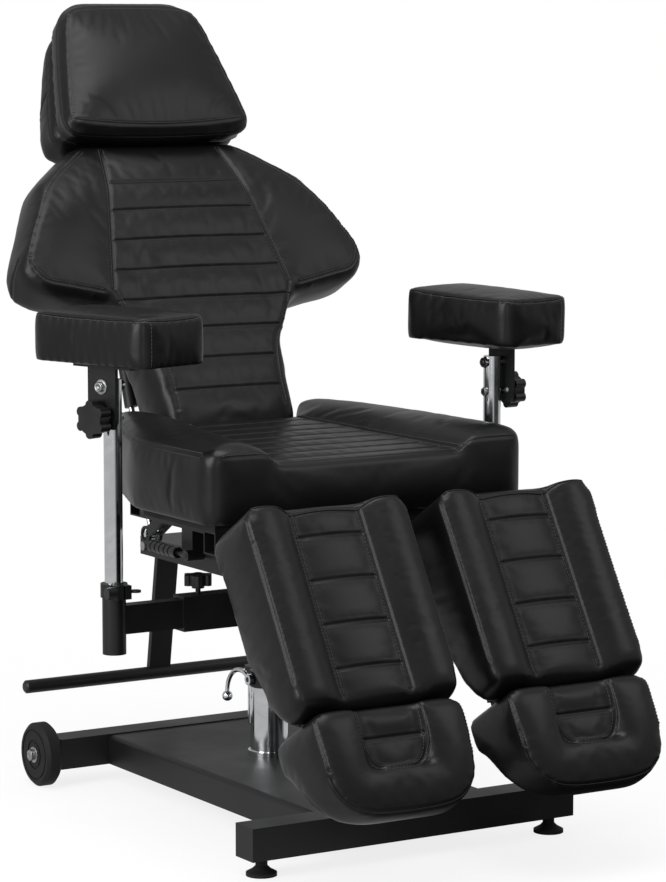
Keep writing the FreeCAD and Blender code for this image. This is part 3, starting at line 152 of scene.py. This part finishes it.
def chrome():
    """Bright chrome plate with faint wipe marks."""
    made, tree, shader, where = finish_of("chrome plate", metal=1)
    smear = speckle(tree, where, 25 * MM, 5, 0.6, 1.0)
    fine = speckle(tree, where, 1.2 * MM, 2)
    dress(tree, shader, tinted(tree, ranged(tree, smear, 0, 1), "#c9cccf", "#dfe1e3"),
          ranged(tree, smear, 0.07, 0.16), fine, 0.02 * MM, 0.3)
    return made


def zinc():
    """Dull zinc plate on bolts and washers."""
    made, tree, shader, where = finish_of("zinc-plated steel", metal=1)
    blotch = speckle(tree, where, 3 * MM, 4, 0.6)
    dress(tree, shader, tinted(tree, ranged(tree, blotch, 0, 1), "#8d908f", "#b9bbb8"),
          ranged(tree, blotch, 0.28, 0.46), blotch, 0.05 * MM, 0.5)
    return made


def moulded_plastic():
    """Black moulded nylon of the knobs and grips, with a spark-eroded texture."""
    made, tree, shader, where = finish_of("black moulded nylon", specular=0.4)
    grain = speckle(tree, where, 0.9 * MM, 2)
    cloud = speckle(tree, where, 12 * MM, 3)
    dress(tree, shader, tinted(tree, ranged(tree, cloud, 0, 1), "#0e0e0f", "#171718"),
          ranged(tree, cloud, 0.33, 0.45), grain, 0.08 * MM, 0.7)
    return made


def rubber(name, dark, light):
    """Matt black rubber with a dusty bloom."""
    made, tree, shader, where = finish_of(name, specular=0.3)
    bloom = speckle(tree, where, 9 * MM, 5, 0.6)
    grain = speckle(tree, where, 1.0 * MM, 2)
    dress(tree, shader, tinted(tree, ranged(tree, bloom, 0, 1), dark, light),
          ranged(tree, bloom, 0.62, 0.8), grain, 0.12 * MM, 0.6)
    return made


def stained_board():
    """Plywood behind the cushions, stained black, with its grain still showing."""
    made, tree, shader, where = finish_of("black-stained plywood", specular=0.3)
    drawn = add(tree, "Mapping", {"Vector": where, "Scale": (1, 12, 1)}).outputs["Vector"]
    grain = speckle(tree, drawn, 30 * MM, 6, 0.7, 0.5)
    dress(tree, shader, tinted(tree, ranged(tree, grain, 0, 1), "#0d0c0b", "#1d1a18"),
          ranged(tree, grain, 0.6, 0.75), grain, 0.2 * MM, 0.6)
    return made


LEATHER = pu_leather()
THREAD = sewing_thread()
COAT = powder_coat()
CHROME = chrome()
ZINC = zinc()
NYLON = moulded_plastic()
TYRE = rubber("black tyre rubber", "#121213", "#1b1b1b")
PAD_RUBBER = rubber("black foot rubber", "#101011", "#171717")
BOARD = stained_board()

# What the CAD nodes are finished in, by the start of their names; all others are powder-coated
FINISHES = [
    ("levelling_feet", PAD_RUBBER), ("wheel_axles", ZINC), ("wheel_", TYRE), ("lift_cylinder", CHROME),
    ("lift_ram", CHROME), ("pump_barrel", CHROME), ("pump_plunger", CHROME), ("lock_lever", CHROME),
    ("pedestal_tube", CHROME), ("pedal_bolts", ZINC), ("strut_rod", CHROME), ("release_lever", NYLON),
    ("seat_board", BOARD), ("back_board", BOARD), ("arm_post", CHROME), ("tilt_knob", NYLON),
    ("tube_knob", NYLON), ("collar_screw", NYLON),
]


def finish_nodes():
    """Gives every CAD node its material."""
    for name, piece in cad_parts.items():
        found = next((finish for start, finish in FINISHES if name.startswith(start)), COAT)
        if not piece.data.materials:
            piece.data.materials.append(found)
        for i in range(len(piece.data.materials)):
            piece.material_slots[i].link = "OBJECT"
            piece.material_slots[i].material = found


# Frames of the padded parts, where the solids have them: x across, y along the part, z out of its face

LEG_LEAN = 31.3
LEG_HINGE = Vector((0.1657, -0.336, 0.471))
POST = Vector((0.343, -0.123, 0))
# How far each armrest is turned about its post, in degrees
PAD_TURN = {"right": 17.0, "left": 5.6}
# The post stands this far outside the middle of its pad
POST_SHIFT = 0.014


def leaning(y, z, lean):
    """The frame of a part whose foot is at y and z, and which leans back by lean degrees."""
    turn = math.radians(lean)
    return Matrix(((1, 0, 0, 0), (0, math.sin(turn), -math.cos(turn), y),
                   (0, math.cos(turn), math.sin(turn), z), (0, 0, 0, 1)))


def down_leg(side):
    """The frame of a leg rest, with y down the leg from its hinge."""
    turn = math.radians(LEG_LEAN)
    return Matrix(((-1, 0, 0, side * LEG_HINGE.x), (0, -math.sin(turn), -math.cos(turn), LEG_HINGE.y),
                   (0, -math.cos(turn), math.sin(turn), LEG_HINGE.z), (0, 0, 0, 1)))


def stand_of(side, name):
    """Where an armrest post stands, turned with its pad."""
    turned = Matrix.Rotation(math.radians(PAD_TURN[name]), 4, "Z")
    return Matrix.Translation((side * POST.x, POST.y, POST.z)) @ turned


SEAT = Matrix.Identity(4)
BACK = leaning(0.177, 0.480, 27.6)
HEAD = leaning(0.335, 1.068, 32.4)


# Padding

# Gap kept between a cushion and the board that it rests on
REST_GAP = 0.6 * MM
# The swelling of a cover: its pressure, how much larger than the foam it is cut, and its frames
PRESSURE = 4
SLACK = 0.005
FRAMES = 20
# Points of a cover this near a seam are held by it
HELD_REACH = 5 * MM
# Spacing of the points along a seam, and where its rays start, in metres from the seam
SEAM_STEP = 2.5 * MM
RAY_START = 1.5
# A cover is refined twice beside its seams, within these distances, down to this length of edge
REFINED = (7 * MM, 4 * MM)
SHORTEST_EDGE = 1.3 * MM
# Width over which the leather near a seam is marked for its material
MARKED = 9 * MM
# A stitch: radius of its thread, longest gap it spans, its length along that gap, and how far its ends
# sink and its middle rises
THREAD_RADIUS = 0.55 * MM
LONGEST_STITCH = 6 * MM
STITCH_LENGTH = 1.35
STITCH_SINK = 0.3 * MM
STITCH_RISE = 0.5 * MM


def into(bm, name, finish, body=None):
    """Makes an object of a bmesh, with its finish, on a body."""
    mesh = bpy.data.meshes.new(name)
    bm.to_mesh(mesh)
    bm.free()
    mesh.materials.append(finish)
    mesh.shade_smooth()
    made = bpy.data.objects.new(name, mesh)
    scene.collection.objects.link(made)
    if body:
        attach(made, body)
    return made


def baked(piece):
    """Replaces an object's mesh by what its modifiers make of it."""
    view = bpy.context.evaluated_depsgraph_get()
    mesh = bpy.data.meshes.new_from_object(piece.evaluated_get(view))
    piece.modifiers.clear()
    piece.data = mesh


def softened(piece, rounds):
    """Adds a modifier that smooths a skin."""
    smooth = piece.modifiers.new("soften", "SMOOTH")
    smooth.factor = 0.5
    smooth.iterations = rounds


def remeshed(node, name, cell, outset, place, shape):
    """A closed even skin over a CAD cushion, stretched by shape in the cushion's own frame."""
    bm = bmesh.new()
    bm.from_mesh(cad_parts[node].data)
    bmesh.ops.remove_doubles(bm, verts=bm.verts, dist=0.02 * MM)
    rest = min((place.inverted() @ v.co).z for v in bm.verts)
    bmesh.ops.transform(bm, matrix=place @ shape @ place.inverted(), verts=bm.verts)
    piece = into(bm, name, LEATHER)
    remesh = piece.modifiers.new("skin", "REMESH")
    remesh.mode = "VOXEL"
    remesh.voxel_size = cell
    softened(piece, 5)
    stuffed = piece.modifiers.new("stuffed", "DISPLACE")
    stuffed.strength = outset
    stuffed.mid_level = 0
    baked(piece)
    for v in piece.data.vertices:
        # What rests on the board behind stays on it
        own = place.inverted() @ v.co
        own.z = max(own.z, rest + REST_GAP)
        v.co = place @ own
    return piece


def eased(piece, held, rounds):
    """Relaxes the skin between its seams, so that it hangs from them as a cover does."""
    bm = bmesh.new()
    bm.from_mesh(piece.data)
    loose = [v for v in bm.verts if not held(v)]
    for _ in range(rounds):
        bmesh.ops.smooth_vert(bm, verts=loose, factor=0.5, use_axis_x=True, use_axis_y=True,
                              use_axis_z=True)
    bm.to_mesh(piece.data)
    bm.free()
    piece.data.update()


def inflated(piece, held, limit):
    """Swells a skin under pressure with some points held, no point moving further than limit."""
    group = piece.vertex_groups.new(name="held")
    group.add([v.index for v in piece.data.vertices if held(v)], 1.0, "REPLACE")
    start = [(v.co.copy(), v.normal.copy()) for v in piece.data.vertices]
    cloth = piece.modifiers.new("swell", "CLOTH").settings
    cloth.use_pressure = True
    cloth.uniform_pressure_force = PRESSURE
    cloth.effector_weights.gravity = 0
    cloth.vertex_group_mass = "held"
    cloth.shrink_min = -SLACK
    cloth.quality = 4
    for number in range(1, FRAMES + 1):
        scene.frame_set(number)
    baked(piece)
    for v, (home, normal) in zip(piece.data.vertices, start):
        # The foam behind the cover keeps it from sinking, so it only swells
        rise = max((v.co - home).dot(normal), 0)
        v.co = home + normal * limit * math.tanh(rise / limit)
    scene.frame_set(1)
    piece.vertex_groups.clear()


def path(points, spacing, closed=False):
    """Points about spacing apart along a smooth line through the given vectors."""
    count = len(points)
    found = []
    for i in range(count if closed else count - 1):
        if closed:
            a, b, c, d = (points[(i + k) % count] for k in (-1, 0, 1, 2))
        else:
            a, b, c, d = points[max(i - 1, 0)], points[i], points[i + 1], points[min(i + 2, count - 1)]
        steps = max(1, round((c - b).length / spacing))
        for k in range(steps):
            t = k / steps
            found.append(0.5 * (2 * b + (c - a) * t + (2 * a - 5 * b + 4 * c - d) * t * t
                                + (3 * b - a - 3 * c + d) * t ** 3))
    if not closed:
        found.append(points[-1])
    return found


class Seam:
    """A sewn line: rays cast along toward through points of the cushion's own frame find it on the skin.

    Sizes are in millimetres: how deep and wide the seam draws the cover in, how far to its sides its rows
    of stitches run, and the radius of its piping.
    """

    def __init__(self, points, toward=(0, 0, -1), depth=1.5, width=3.0, rows=(), cord=0.0, closed=False):
        self.points = [Vector((p[0], p[1], p[2] if len(p) > 2 else 0)) * MM for p in points]
        self.toward = toward
        self.depth = depth * MM
        self.width = width * MM
        self.rows = rows
        self.cord = cord * MM
        self.closed = closed

    def on(self, tree, place, shift=0.0):
        """The line's points and normals on a skin, moved sideways by shift."""
        line = path(self.points, SEAM_STEP, self.closed)
        turned = place.to_3x3()
        found = []
        for i, point in enumerate(line):
            toward = self.toward(point) if callable(self.toward) else self.toward
            toward = (turned @ Vector(toward)).normalized()
            along = (turned @ (line[min(i + 1, len(line) - 1)] - line[max(i - 1, 0)])).normalized()
            where = place @ point + along.cross(toward).normalized() * shift
            hit, normal, _, _ = tree.ray_cast(where - toward * RAY_START, toward)
            if hit is not None:
                found.append((hit, normal))
        return found


def pair(points, toward=(0, 0, -1), **sizes):
    """A seam on the left, given by its points and rays, and its mirror image on the right."""
    return [Seam([(side * x, *rest) for x, *rest in points], toward=(side * toward[0], *toward[1:]), **sizes)
            for side, _ in SIDES]


def inward(y, drop=0.0):
    """Rays that point at a spot at y on a cushion's middle line, dropping by drop metres."""
    return lambda point: (-point.x, y - point.y, -drop)


def dent(away):
    """How far a seam draws the cover in, at a distance in its widths: groove, hollow and raised lip."""
    groove = math.exp(-away ** 2)
    hollow = 0.4 * math.exp(-(away / 3) ** 2)
    lip = 0.3 * math.exp(-((away - 2.4) / 0.9) ** 2)
    return (groove + hollow - lip) / 1.4


def finder_of(points):
    """Finds the nearest of some points."""
    points = list(points)
    finder = kdtree.KDTree(len(points))
    for i, point in enumerate(points):
        finder.insert(point, i)
    finder.balance()
    return finder


def sewn(piece, place, seams):
    """Presses seams into a skin, refining it beside them, and marks the leather near them."""
    bm = bmesh.new()
    bm.from_mesh(piece.data)
    tree = BVHTree.FromBMesh(bm)
    found = [(seam, hit) for seam in seams for hit, _ in seam.on(tree, place)]
    finder = finder_of(hit for _, hit in found)
    for reach in REFINED:
        near = {v for v in bm.verts if finder.find(v.co)[2] < reach}
        edges = [e for e in bm.edges if e.verts[0] in near and e.verts[1] in near
                 and e.calc_length() > SHORTEST_EDGE]
        bmesh.ops.subdivide_edges(bm, edges=edges, cuts=1, use_grid_fill=True, smooth=0)
    bm.normal_update()
    mark = bm.verts.layers.float.new("seam")
    moves = []
    for v in bm.verts:
        _, index, distance = finder.find(v.co)
        v[mark] = math.exp(-(distance / MARKED) ** 2)
        seam = found[index][0]
        if distance < 4 * seam.width:
            moves.append((v, v.normal * seam.depth * dent(distance / seam.width)))
    for v, move in moves:
        v.co -= move
    bm.to_mesh(piece.data)
    bm.free()
    piece.data.shade_smooth()


def tubing(name, lines, radius, finish, body, roundness=1):
    """Round threads or piping of one radius along lines of points."""
    curve = bpy.data.curves.new(name, "CURVE")
    curve.dimensions = "3D"
    curve.bevel_depth = radius
    curve.bevel_resolution = roundness
    curve.use_fill_caps = True
    for line, closed in lines:
        spline = curve.splines.new("POLY")
        spline.points.add(len(line) - 1)
        for point, co in zip(spline.points, line):
            point.co = (*co, 1)
        spline.use_cyclic_u = closed
    holder = bpy.data.objects.new(name, curve)
    mesh = bpy.data.meshes.new_from_object(holder)
    bpy.data.objects.remove(holder)
    mesh.materials.clear()
    mesh.materials.append(finish)
    mesh.shade_smooth()
    made = bpy.data.objects.new(name, mesh)
    scene.collection.objects.link(made)
    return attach(made, body)


def stitched(piece, name, place, seams, body):
    """Rows of stitches beside seams, and the piping in them."""
    tree = BVHTree.FromObject(piece, bpy.context.evaluated_depsgraph_get())
    stitches = []
    cords = {}
    for seam in seams:
        for shift in seam.rows:
            run = seam.on(tree, place, shift * MM)
            for i in range(0, len(run) - 2, 2):
                (a, up), (b, next_up) = run[i], run[i + 1]
                if (b - a).length < LONGEST_STITCH:
                    b = a + (b - a) * STITCH_LENGTH
                    stitches.append(([a - up * STITCH_SINK, (a + b) / 2 + (up + next_up) / 2 * STITCH_RISE,
                                      b - next_up * STITCH_SINK], False))
        if seam.cord:
            line = [point + up * seam.cord * 0.1 for point, up in seam.on(tree, place)]
            cords.setdefault(seam.cord, []).append((line, seam.closed))
    if stitches:
        tubing(name + "_stitches", stitches, THREAD_RADIUS, THREAD, body)
    for radius, lines in cords.items():
        tubing(name + "_piping", lines, radius, LEATHER, body, 2)


def cushion(node, name, body, place, seams, cell=5.0, outset=3.0, limit=7.0, flat=None, rounds=16,
            shape=Matrix.Identity(4)):
    """A stuffed cushion in the place of a CAD one: skin, swelling, seams, stitches.

    Sizes are in millimetres: the skin's cells, how far it is let out, the most that it swells, and the
    height in its own frame below which it is held.
    """
    piece = remeshed(node, name, cell * MM, outset * MM, place, shape)
    place = place @ shape
    tree = BVHTree.FromObject(piece, bpy.context.evaluated_depsgraph_get())
    finder = finder_of(hit for seam in seams for hit, _ in seam.on(tree, place))
    own = place.inverted()

    def held(v):
        if flat is not None and (own @ v.co).z < flat * MM:
            return True
        return finder.find(v.co)[2] < HELD_REACH

    eased(piece, held, rounds)
    inflated(piece, held, limit * MM)
    softened(piece, 2)
    finer = piece.modifiers.new("finer", "SUBSURF")
    finer.levels = finer.render_levels = 1
    baked(piece)
    sewn(piece, place, seams)
    stitched(piece, name, place, seams, body)
    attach(piece, body)
    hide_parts(node)


def stretched(x=1.0, y=1.0, z=1.0, middle=(0, 0, 0), tip=0.0, turn=0.0):
    """A stretch about a middle in millimetres, tipped about the x axis and turned about z by degrees."""
    home = Matrix.Translation(Vector(middle) * MM)
    posed = Matrix.Rotation(math.radians(turn), 4, "Z") @ Matrix.Rotation(math.radians(tip), 4, "X")
    return home @ posed @ Matrix.Diagonal((x, y, z, 1)) @ home.inverted()


def across(half, at):
    """A sewn channel straight across a panel."""
    return Seam([(-half, at), (0, at), (half, at)], depth=2.0, width=2.2)


def mirrored(points, *middle):
    """Points from the left, an optional one on the middle line, and the same points back on the right."""
    return [*points, *middle, *((-x, *rest) for x, *rest in reversed(points))]


def seat_seams():
    front, length, wide, narrow = -313, 478, 165, 89

    def half(y):
        """Half the width of the tapering panel."""
        return wide - (wide - narrow) * (y - front) / length

    channels = [across(half(y) - 4, y) for y in (-308 + 44.8 * (i + 1) for i in range(8))]
    borders = pair([(half(y), y) for y in (-300, -160, -40, 88)], depth=2.2, width=2.5, rows=(4, -4))
    edge = Seam([(x, -306, 600) for x in (-258, -215, -165, -80, 0, 80, 165, 215, 258)],
                toward=(0, 1, -1.2), depth=1.4, width=2.5, rows=(3,))
    rim = ((280, -276), (280, -180), (279, -90), (262, -22), (232, 54), (200, 134))
    sides = pair([(x, y, 607) for x, y in rim], toward=(-1, 0, -1), depth=1.4, width=2.5, rows=(4, -4))
    return channels + borders + [edge] + sides


def back_seams():
    waist, waist_top, panel_top = 100, 215, 578
    narrow, wide, widest_at = 104, 163, 294

    def half(v):
        """Half the width of the panel: even at the waist, then widest at the shoulders and narrowing up."""
        if v < waist_top:
            return waist
        return min(narrow + (wide - narrow) * max(0, panel_top - v) / (panel_top - widest_at), 156)

    seams = [across(half(v) - 3, v) for v in (130 + 53 * i for i in range(8))]
    seams += pair(((106, 570), (122, 490), (140, 400), (158, 310)), depth=2.4, width=3.0, rows=(4, -4))
    seams += pair(((158, 310), (134, 250), (110, 215), (98, 160), (96, 100)), depth=1.6, width=3.0, rows=(3,))
    wing = ((142, 566), (214, 506), (258, 440), (292, 372), (291, 350), (274, 328), (236, 319), (176, 307))
    seams += pair(wing, depth=1.2, width=2.5, rows=(3, -3))
    # The boxing of each wing is joined by a slanting seam
    join = ((372, 112), (356, 92), (336, 62), (330, 40))
    seams += pair([(320, v, n) for v, n in join], toward=(-1, 0, 0), depth=1.6, width=2.6)
    return seams


def calf_seams():
    seams = [across(54, 38 + 68 * i) for i in range(4)]
    seams += pair([(57, a) for a in (0, 90, 180, 282)], depth=2.0, width=2.6, rows=(4, -4))
    seams += pair([(130, a, 128) for a in (6, 90, 180, 258)], toward=(-1, 0, -1.4), depth=1.2, width=2.5,
                  rows=(3, -3))
    seams.append(Seam([(x, -6, 128) for x in (-122, -101, -57, 0, 57, 101, 122)], toward=(0, 1, -1.2),
                      depth=0.9, width=2.4, cord=1.3))
    return seams


def foot_seams():
    recess = Seam(mirrored(((50, 312), (50, 340), (47, 372), (32, 393)), (0, 398)), depth=2.2, width=2.6,
                  rows=(4, -3))
    toe = Seam(mirrored([(x, a, 124) for x, a in ((111, 398), (106, 420), (88, 444), (56, 458))],
                        (0, 462, 124)), toward=inward(0.35, 0.11), depth=1.4, width=2.6, cord=1.3)
    sides = pair([(113, a, 130) for a in (318, 345, 370, 392)], toward=(-1, 0, -1.4), depth=1.0, width=2.5,
                 rows=(3, -3))
    return [across(47, 352), recess, toe] + sides


def pillow_seams():
    ring = mirrored(((148, 16), (150, 34), (136, 110), (116, 200), (100, 222), (60, 229)), (0, 231))
    ring += [(-80, 7), (0, 4), (80, 7)]
    boxing = [(x * 1.1, y, -20) for x, y in ring]
    return [Seam(ring, depth=1.2, width=2.6, rows=(3,), closed=True),
            Seam(boxing, toward=inward(0.12), depth=1.0, width=2.4, cord=1.1, closed=True)]


def rear_pad_seams():
    """One seam round the boxing, and a short one across it on each side."""
    ring = mirrored([(x * 1.06, y, -72) for x, y in ((150, 20), (136, 110), (116, 200), (60, 229))])
    joins = pair([(170, y, n) for y, n in ((116, -74), (108, -92), (92, -112))], toward=(-1, 0, 0),
                 depth=1.8, width=3.0)
    return [Seam(ring, toward=inward(0.12), depth=1.0, width=2.4, cord=1.0)] + joins


def arm_seams(side):
    """A seam up the front near the outer corner, and piping round the top."""
    height, end = 803, 121
    quarter = [(66, 96), (58, 112), (46, 119)]
    front = mirrored([(x, -y) for x, y in quarter], (0, -end))
    rear = mirrored(quarter, (0, end))
    ring = [(x, y, height) for x, y in [rear[0], (67, 0), *front, (-67, 0), *rear[:0:-1]]]
    corner = Seam([(side * 50, -end, z) for z in (738, 768, 798)], toward=(0, 1, 0), depth=0.9, width=2.2,
                  rows=(3,))
    piping = Seam(ring, toward=lambda p: (-p.x, -0.55 * p.y, -0.08), depth=0.9, width=2.5, rows=(3,),
                  cord=1.0, closed=True)
    return [corner, piping]


def padding():
    cushion("seat_cushion", "seat_padding", "seat", SEAT, seat_seams(), cell=6, flat=503, limit=6, rounds=8)
    cushion("back_cushion", "back_padding", "back", BACK, back_seams(), cell=6, flat=28, outset=4, limit=9,
            shape=stretched(x=1.03))
    cushion("headrest_pillow", "headrest_pillow_padding", "headrest", HEAD, pillow_seams(), flat=-50,
            limit=10, rounds=60, shape=stretched(x=1.055))
    cushion("headrest_rear_pad", "headrest_rear_padding", "headrest", HEAD, rear_pad_seams(), outset=4,
            shape=stretched(x=1.09, y=0.95))
    # The left armrest pad is thicker than its solid, and tipped and turned a little further
    middle = (0, 0, 762)
    pads = {"right": stretched(z=1.06, middle=middle),
            "left": stretched(z=1.15, middle=middle, tip=1.5, turn=4)}
    for side, name in SIDES:
        leg = down_leg(side)
        cushion("calf_cushion_" + name, "calf_padding_" + name, "leg_" + name, leg, calf_seams(), flat=21,
                outset=4, limit=6, shape=stretched(x=1.03))
        cushion("foot_cushion_" + name, "foot_padding_" + name, "foot_" + name, leg, foot_seams(), flat=14,
                outset=4, limit=8, shape=stretched(x=1.07, y=1.02, middle=(0, 330, 70)))
        pad = stand_of(side, name) @ Matrix.Translation((-side * POST_SHIFT, 0, 0))
        cushion("arm_pad_" + name, "arm_padding_" + name, "armrest_" + name, pad, arm_seams(side), flat=735,
                limit=8, rounds=8, shape=pads[name])


# Small hardware that the solids leave plain, in millimetres

# Heights of each armrest's tilt pin and clamp stud, and half the width of the post that they run through
PIN_AT = 698
STUD_AT = 651
POST_HALF = 12.5
# How much of a fitting's height its socket takes
SOCKET_DEPTH = 0.6


def fitting(bm, where, radius, height, sides=6, edge=0.7, bore=0.0, top=None):
    """Adds a nut, washer or bolt head standing up from a place, its edge eased, with an optional socket."""
    top = top or radius
    part = bmesh.new()
    bmesh.ops.create_cone(part, cap_ends=True, segments=sides, radius1=radius * MM, radius2=top * MM,
                          depth=height * MM, matrix=Matrix.Translation((0, 0, height * MM / 2)))
    part.normal_update()
    cap = next(f for f in part.faces if f.normal.z > 0.9)
    rim = list(cap.edges)
    if bore:
        bmesh.ops.inset_individual(part, faces=[cap], thickness=(top - bore) * MM, use_even_offset=True)
        sunk = bmesh.ops.extrude_discrete_faces(part, faces=[cap])["faces"]
        bmesh.ops.translate(part, verts=sunk[0].verts, vec=(0, 0, -SOCKET_DEPTH * height * MM))
    bmesh.ops.bevel(part, geom=rim, offset=edge * MM, segments=2, affect="EDGES", profile=0.5, material=-1)
    bmesh.ops.transform(part, matrix=where, verts=part.verts)
    bmesh.ops.recalc_face_normals(part, faces=part.faces)
    mesh = bpy.data.meshes.new("fitting")
    part.to_mesh(mesh)
    part.free()
    bm.from_mesh(mesh)
    bpy.data.meshes.remove(mesh)


def facing(place, at, toward):
    """A place at millimetres, with its z axis toward a direction."""
    turned = Vector(toward).to_track_quat("Z", "Y").to_matrix().to_4x4()
    return place @ Matrix.Translation(Vector(at) * MM) @ turned


def clamp_fittings(side, name):
    """Washer and socket head on the tilt pin, washer and nut on the clamp stud, and the pin's inner cap."""
    stand = stand_of(side, name)

    def outside(past, height):
        return facing(stand, (side * (POST_HALF + past), 0, height), (side, 0, 0))

    def inside(past, height):
        return facing(stand, (-side * (POST_HALF + past), 0, height), (-side, 0, 0))

    bm = bmesh.new()
    fitting(bm, outside(10.6, PIN_AT), 11.5, 1.2, 36, 0.4)
    fitting(bm, outside(15.1, PIN_AT), 7.6, 3.4, 30, 1.0, bore=3.6)
    fitting(bm, outside(10.4, STUD_AT), 14.5, 1.3, 36, 0.4)
    fitting(bm, inside(0, STUD_AT), 7.4, 5.5, 6, 0.6)
    into(bm, "clamp_fittings_" + name, ZINC, "arm_post_" + name)
    bm = bmesh.new()
    fitting(bm, inside(0.5, PIN_AT), 9.0, 4.0, 6, 0.6)
    fitting(bm, inside(4.5, PIN_AT), 7.6, 5.5, 24, 2.6, top=5.6)
    into(bm, "tilt_pin_cap_" + name, NYLON, "arm_post_" + name)


def axle_nuts():
    """A washer and a nut on the outer end of each wheel's axle."""
    low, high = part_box("wheel_axles")
    bm = bmesh.new()
    for side, name in SIDES:
        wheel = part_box("wheel_" + name)
        middle = (wheel[0] + wheel[1]) / 2 / MM
        end = (low.x if side < 0 else high.x) / MM

        def outward(short):
            return facing(Matrix.Identity(4), (end - side * short, middle.y, middle.z), (side, 0, 0))

        fitting(bm, outward(8), 13, 1.6, 36, 0.4)
        fitting(bm, outward(5), 9.6, 6.0, 6, 0.8, bore=4.6)
    into(bm, "axle_nuts", ZINC, "base")


# Studio

# The camera stands at this azimuth and elevation in degrees from a target, this many metres off
AZIMUTH, ELEVATION, DISTANCE = -31.55, 7.05, 5.21465
TARGET = Vector((0, -0.195, 0.6))
# Its focal length in pixels of a photograph this many pixels high, and the sensor's longer side in mm
FOCAL = 3400
PHOTO_HEIGHT = 882
SENSOR = 36

# Soft boxes: width and height in metres, power in watts, place and target
LAMPS = [
    ("key soft box", (1.6, 2.2), 75, (-3.2, -0.6, 1.7), (0, 0, 0.7)),
    ("high front soft box", (1.6, 1.6), 15, (2.0, -2.3, 2.9), (0, 0, 0.7)),
    ("strip light", (0.35, 1.6), 9, (-2.4, -3.3, 1.2), (0, -0.2, 0.6)),
    ("top soft box", (2.2, 2.2), 60, (-0.4, -0.5, 3.3), (0, 0, 0.5)),
]
# Metal and leather mirror the floor, which glows for reflected rays as a painted reflection: a white room
# with a painted black screen on this side of it, to the right of the camera
PAINTED_SCREEN_HEADING = (0.5, -0.866, 0)
WHITE = (1, 1, 1, 1)


def floor_finish():
    """White studio floor: the camera sees it nearly white, and it throws little light up under the chair.
    Reflected rays see it glow as a painted reflection of a white room with a painted dark screen.
    """
    made, tree, shader, where = finish_of("white studio floor", specular=0.1)
    rays = add(tree, "LightPath", {})
    seen = rays.outputs["Is Camera Ray"]
    tree.links.new(tinted(tree, seen, "#8c8c8c", "#ffffff"), shader.inputs["Base Color"])
    shader.inputs["Roughness"].default_value = 0.8
    distance = add(tree, "VectorMath", {0: where}, operation="LENGTH").outputs["Value"]
    # Shadows show near the chair, and fade into plain white further off
    fade = ranged(tree, distance, 0.82, 1, 0.5, 1.6)
    white = add(tree, "Emission", {"Color": WHITE, "Strength": 1.0})
    floor = add(tree, "MixShader", {0: combined(tree, fade, seen, "MULTIPLY"), 1: shader.outputs[0],
                                    2: white.outputs[0]})
    # Painted reflection: glossy rays see the floor glow white, dimming almost to black on the side toward the
    # painted screen
    heading = add(tree, "VectorMath", {0: where}, operation="NORMALIZE").outputs[0]
    toward_painted_screen = add(tree, "VectorMath", {0: heading, 1: PAINTED_SCREEN_HEADING}, operation="DOT_PRODUCT").outputs["Value"]
    room = add(tree, "Emission", {"Color": WHITE, "Strength": ranged(tree, toward_painted_screen, 0.6, 0.03, 0.72, 0.92)})
    both = add(tree, "MixShader", {0: rays.outputs["Is Glossy Ray"], 1: floor.outputs[0], 2: room.outputs[0]})
    tree.links.new(both.outputs[0], tree.nodes["Material Output"].inputs["Surface"])
    return made


def lamp(name, size, power, place, target):
    """A soft box at a place, facing a target."""
    light = bpy.data.lights.new(name, "AREA")
    light.shape = "RECTANGLE"
    light.size, light.size_y = size
    light.energy = power
    made = bpy.data.objects.new(name, light)
    made.location = place
    made.rotation_euler = (Vector(target) - Vector(place)).to_track_quat("-Z", "Y").to_euler()
    scene.collection.objects.link(made)


def surround():
    """A room that the camera sees white and that lights the chair at half of that."""
    world = bpy.data.worlds.new("studio surround")
    scene.world = world
    world.use_nodes = True
    tree = world.node_tree
    tree.nodes.clear()
    seen = add(tree, "LightPath", {}).outputs["Is Camera Ray"]
    white = add(tree, "Background", {"Color": WHITE, "Strength": 1.0})
    room = add(tree, "Background", {"Color": WHITE, "Strength": 0.5})
    blend = add(tree, "MixShader", {0: seen, 1: room.outputs[0], 2: white.outputs[0]})
    output = add(tree, "OutputWorld", {"Surface": blend.outputs[0]})
    output.is_active_output = True


def camera():
    """A camera at the photograph's viewing angle."""
    azimuth, elevation = math.radians(AZIMUTH), math.radians(ELEVATION)
    away = Vector((math.sin(azimuth) * math.cos(elevation), -math.cos(azimuth) * math.cos(elevation),
                   math.sin(elevation)))
    made = bpy.data.objects.new("camera", bpy.data.cameras.new("camera"))
    made.data.sensor_width = SENSOR
    made.data.lens = SENSOR * FOCAL / PHOTO_HEIGHT
    made.data.clip_end = 60
    made.location = TARGET + away * DISTANCE
    made.rotation_euler = (-away).to_track_quat("-Z", "Y").to_euler()
    scene.collection.objects.link(made)
    scene.camera = made


def studio():
    bm = bmesh.new()
    bmesh.ops.create_circle(bm, cap_ends=True, radius=14, segments=96)
    into(bm, "studio_floor", floor_finish())
    for setting in LAMPS:
        lamp(*setting)
    surround()
    camera()
    scene.view_settings.view_transform = "Standard"


finish_nodes()
padding()
for side, name in SIDES:
    clamp_fittings(side, name)
axle_nuts()
studio()

bpy.context.view_layer.update()
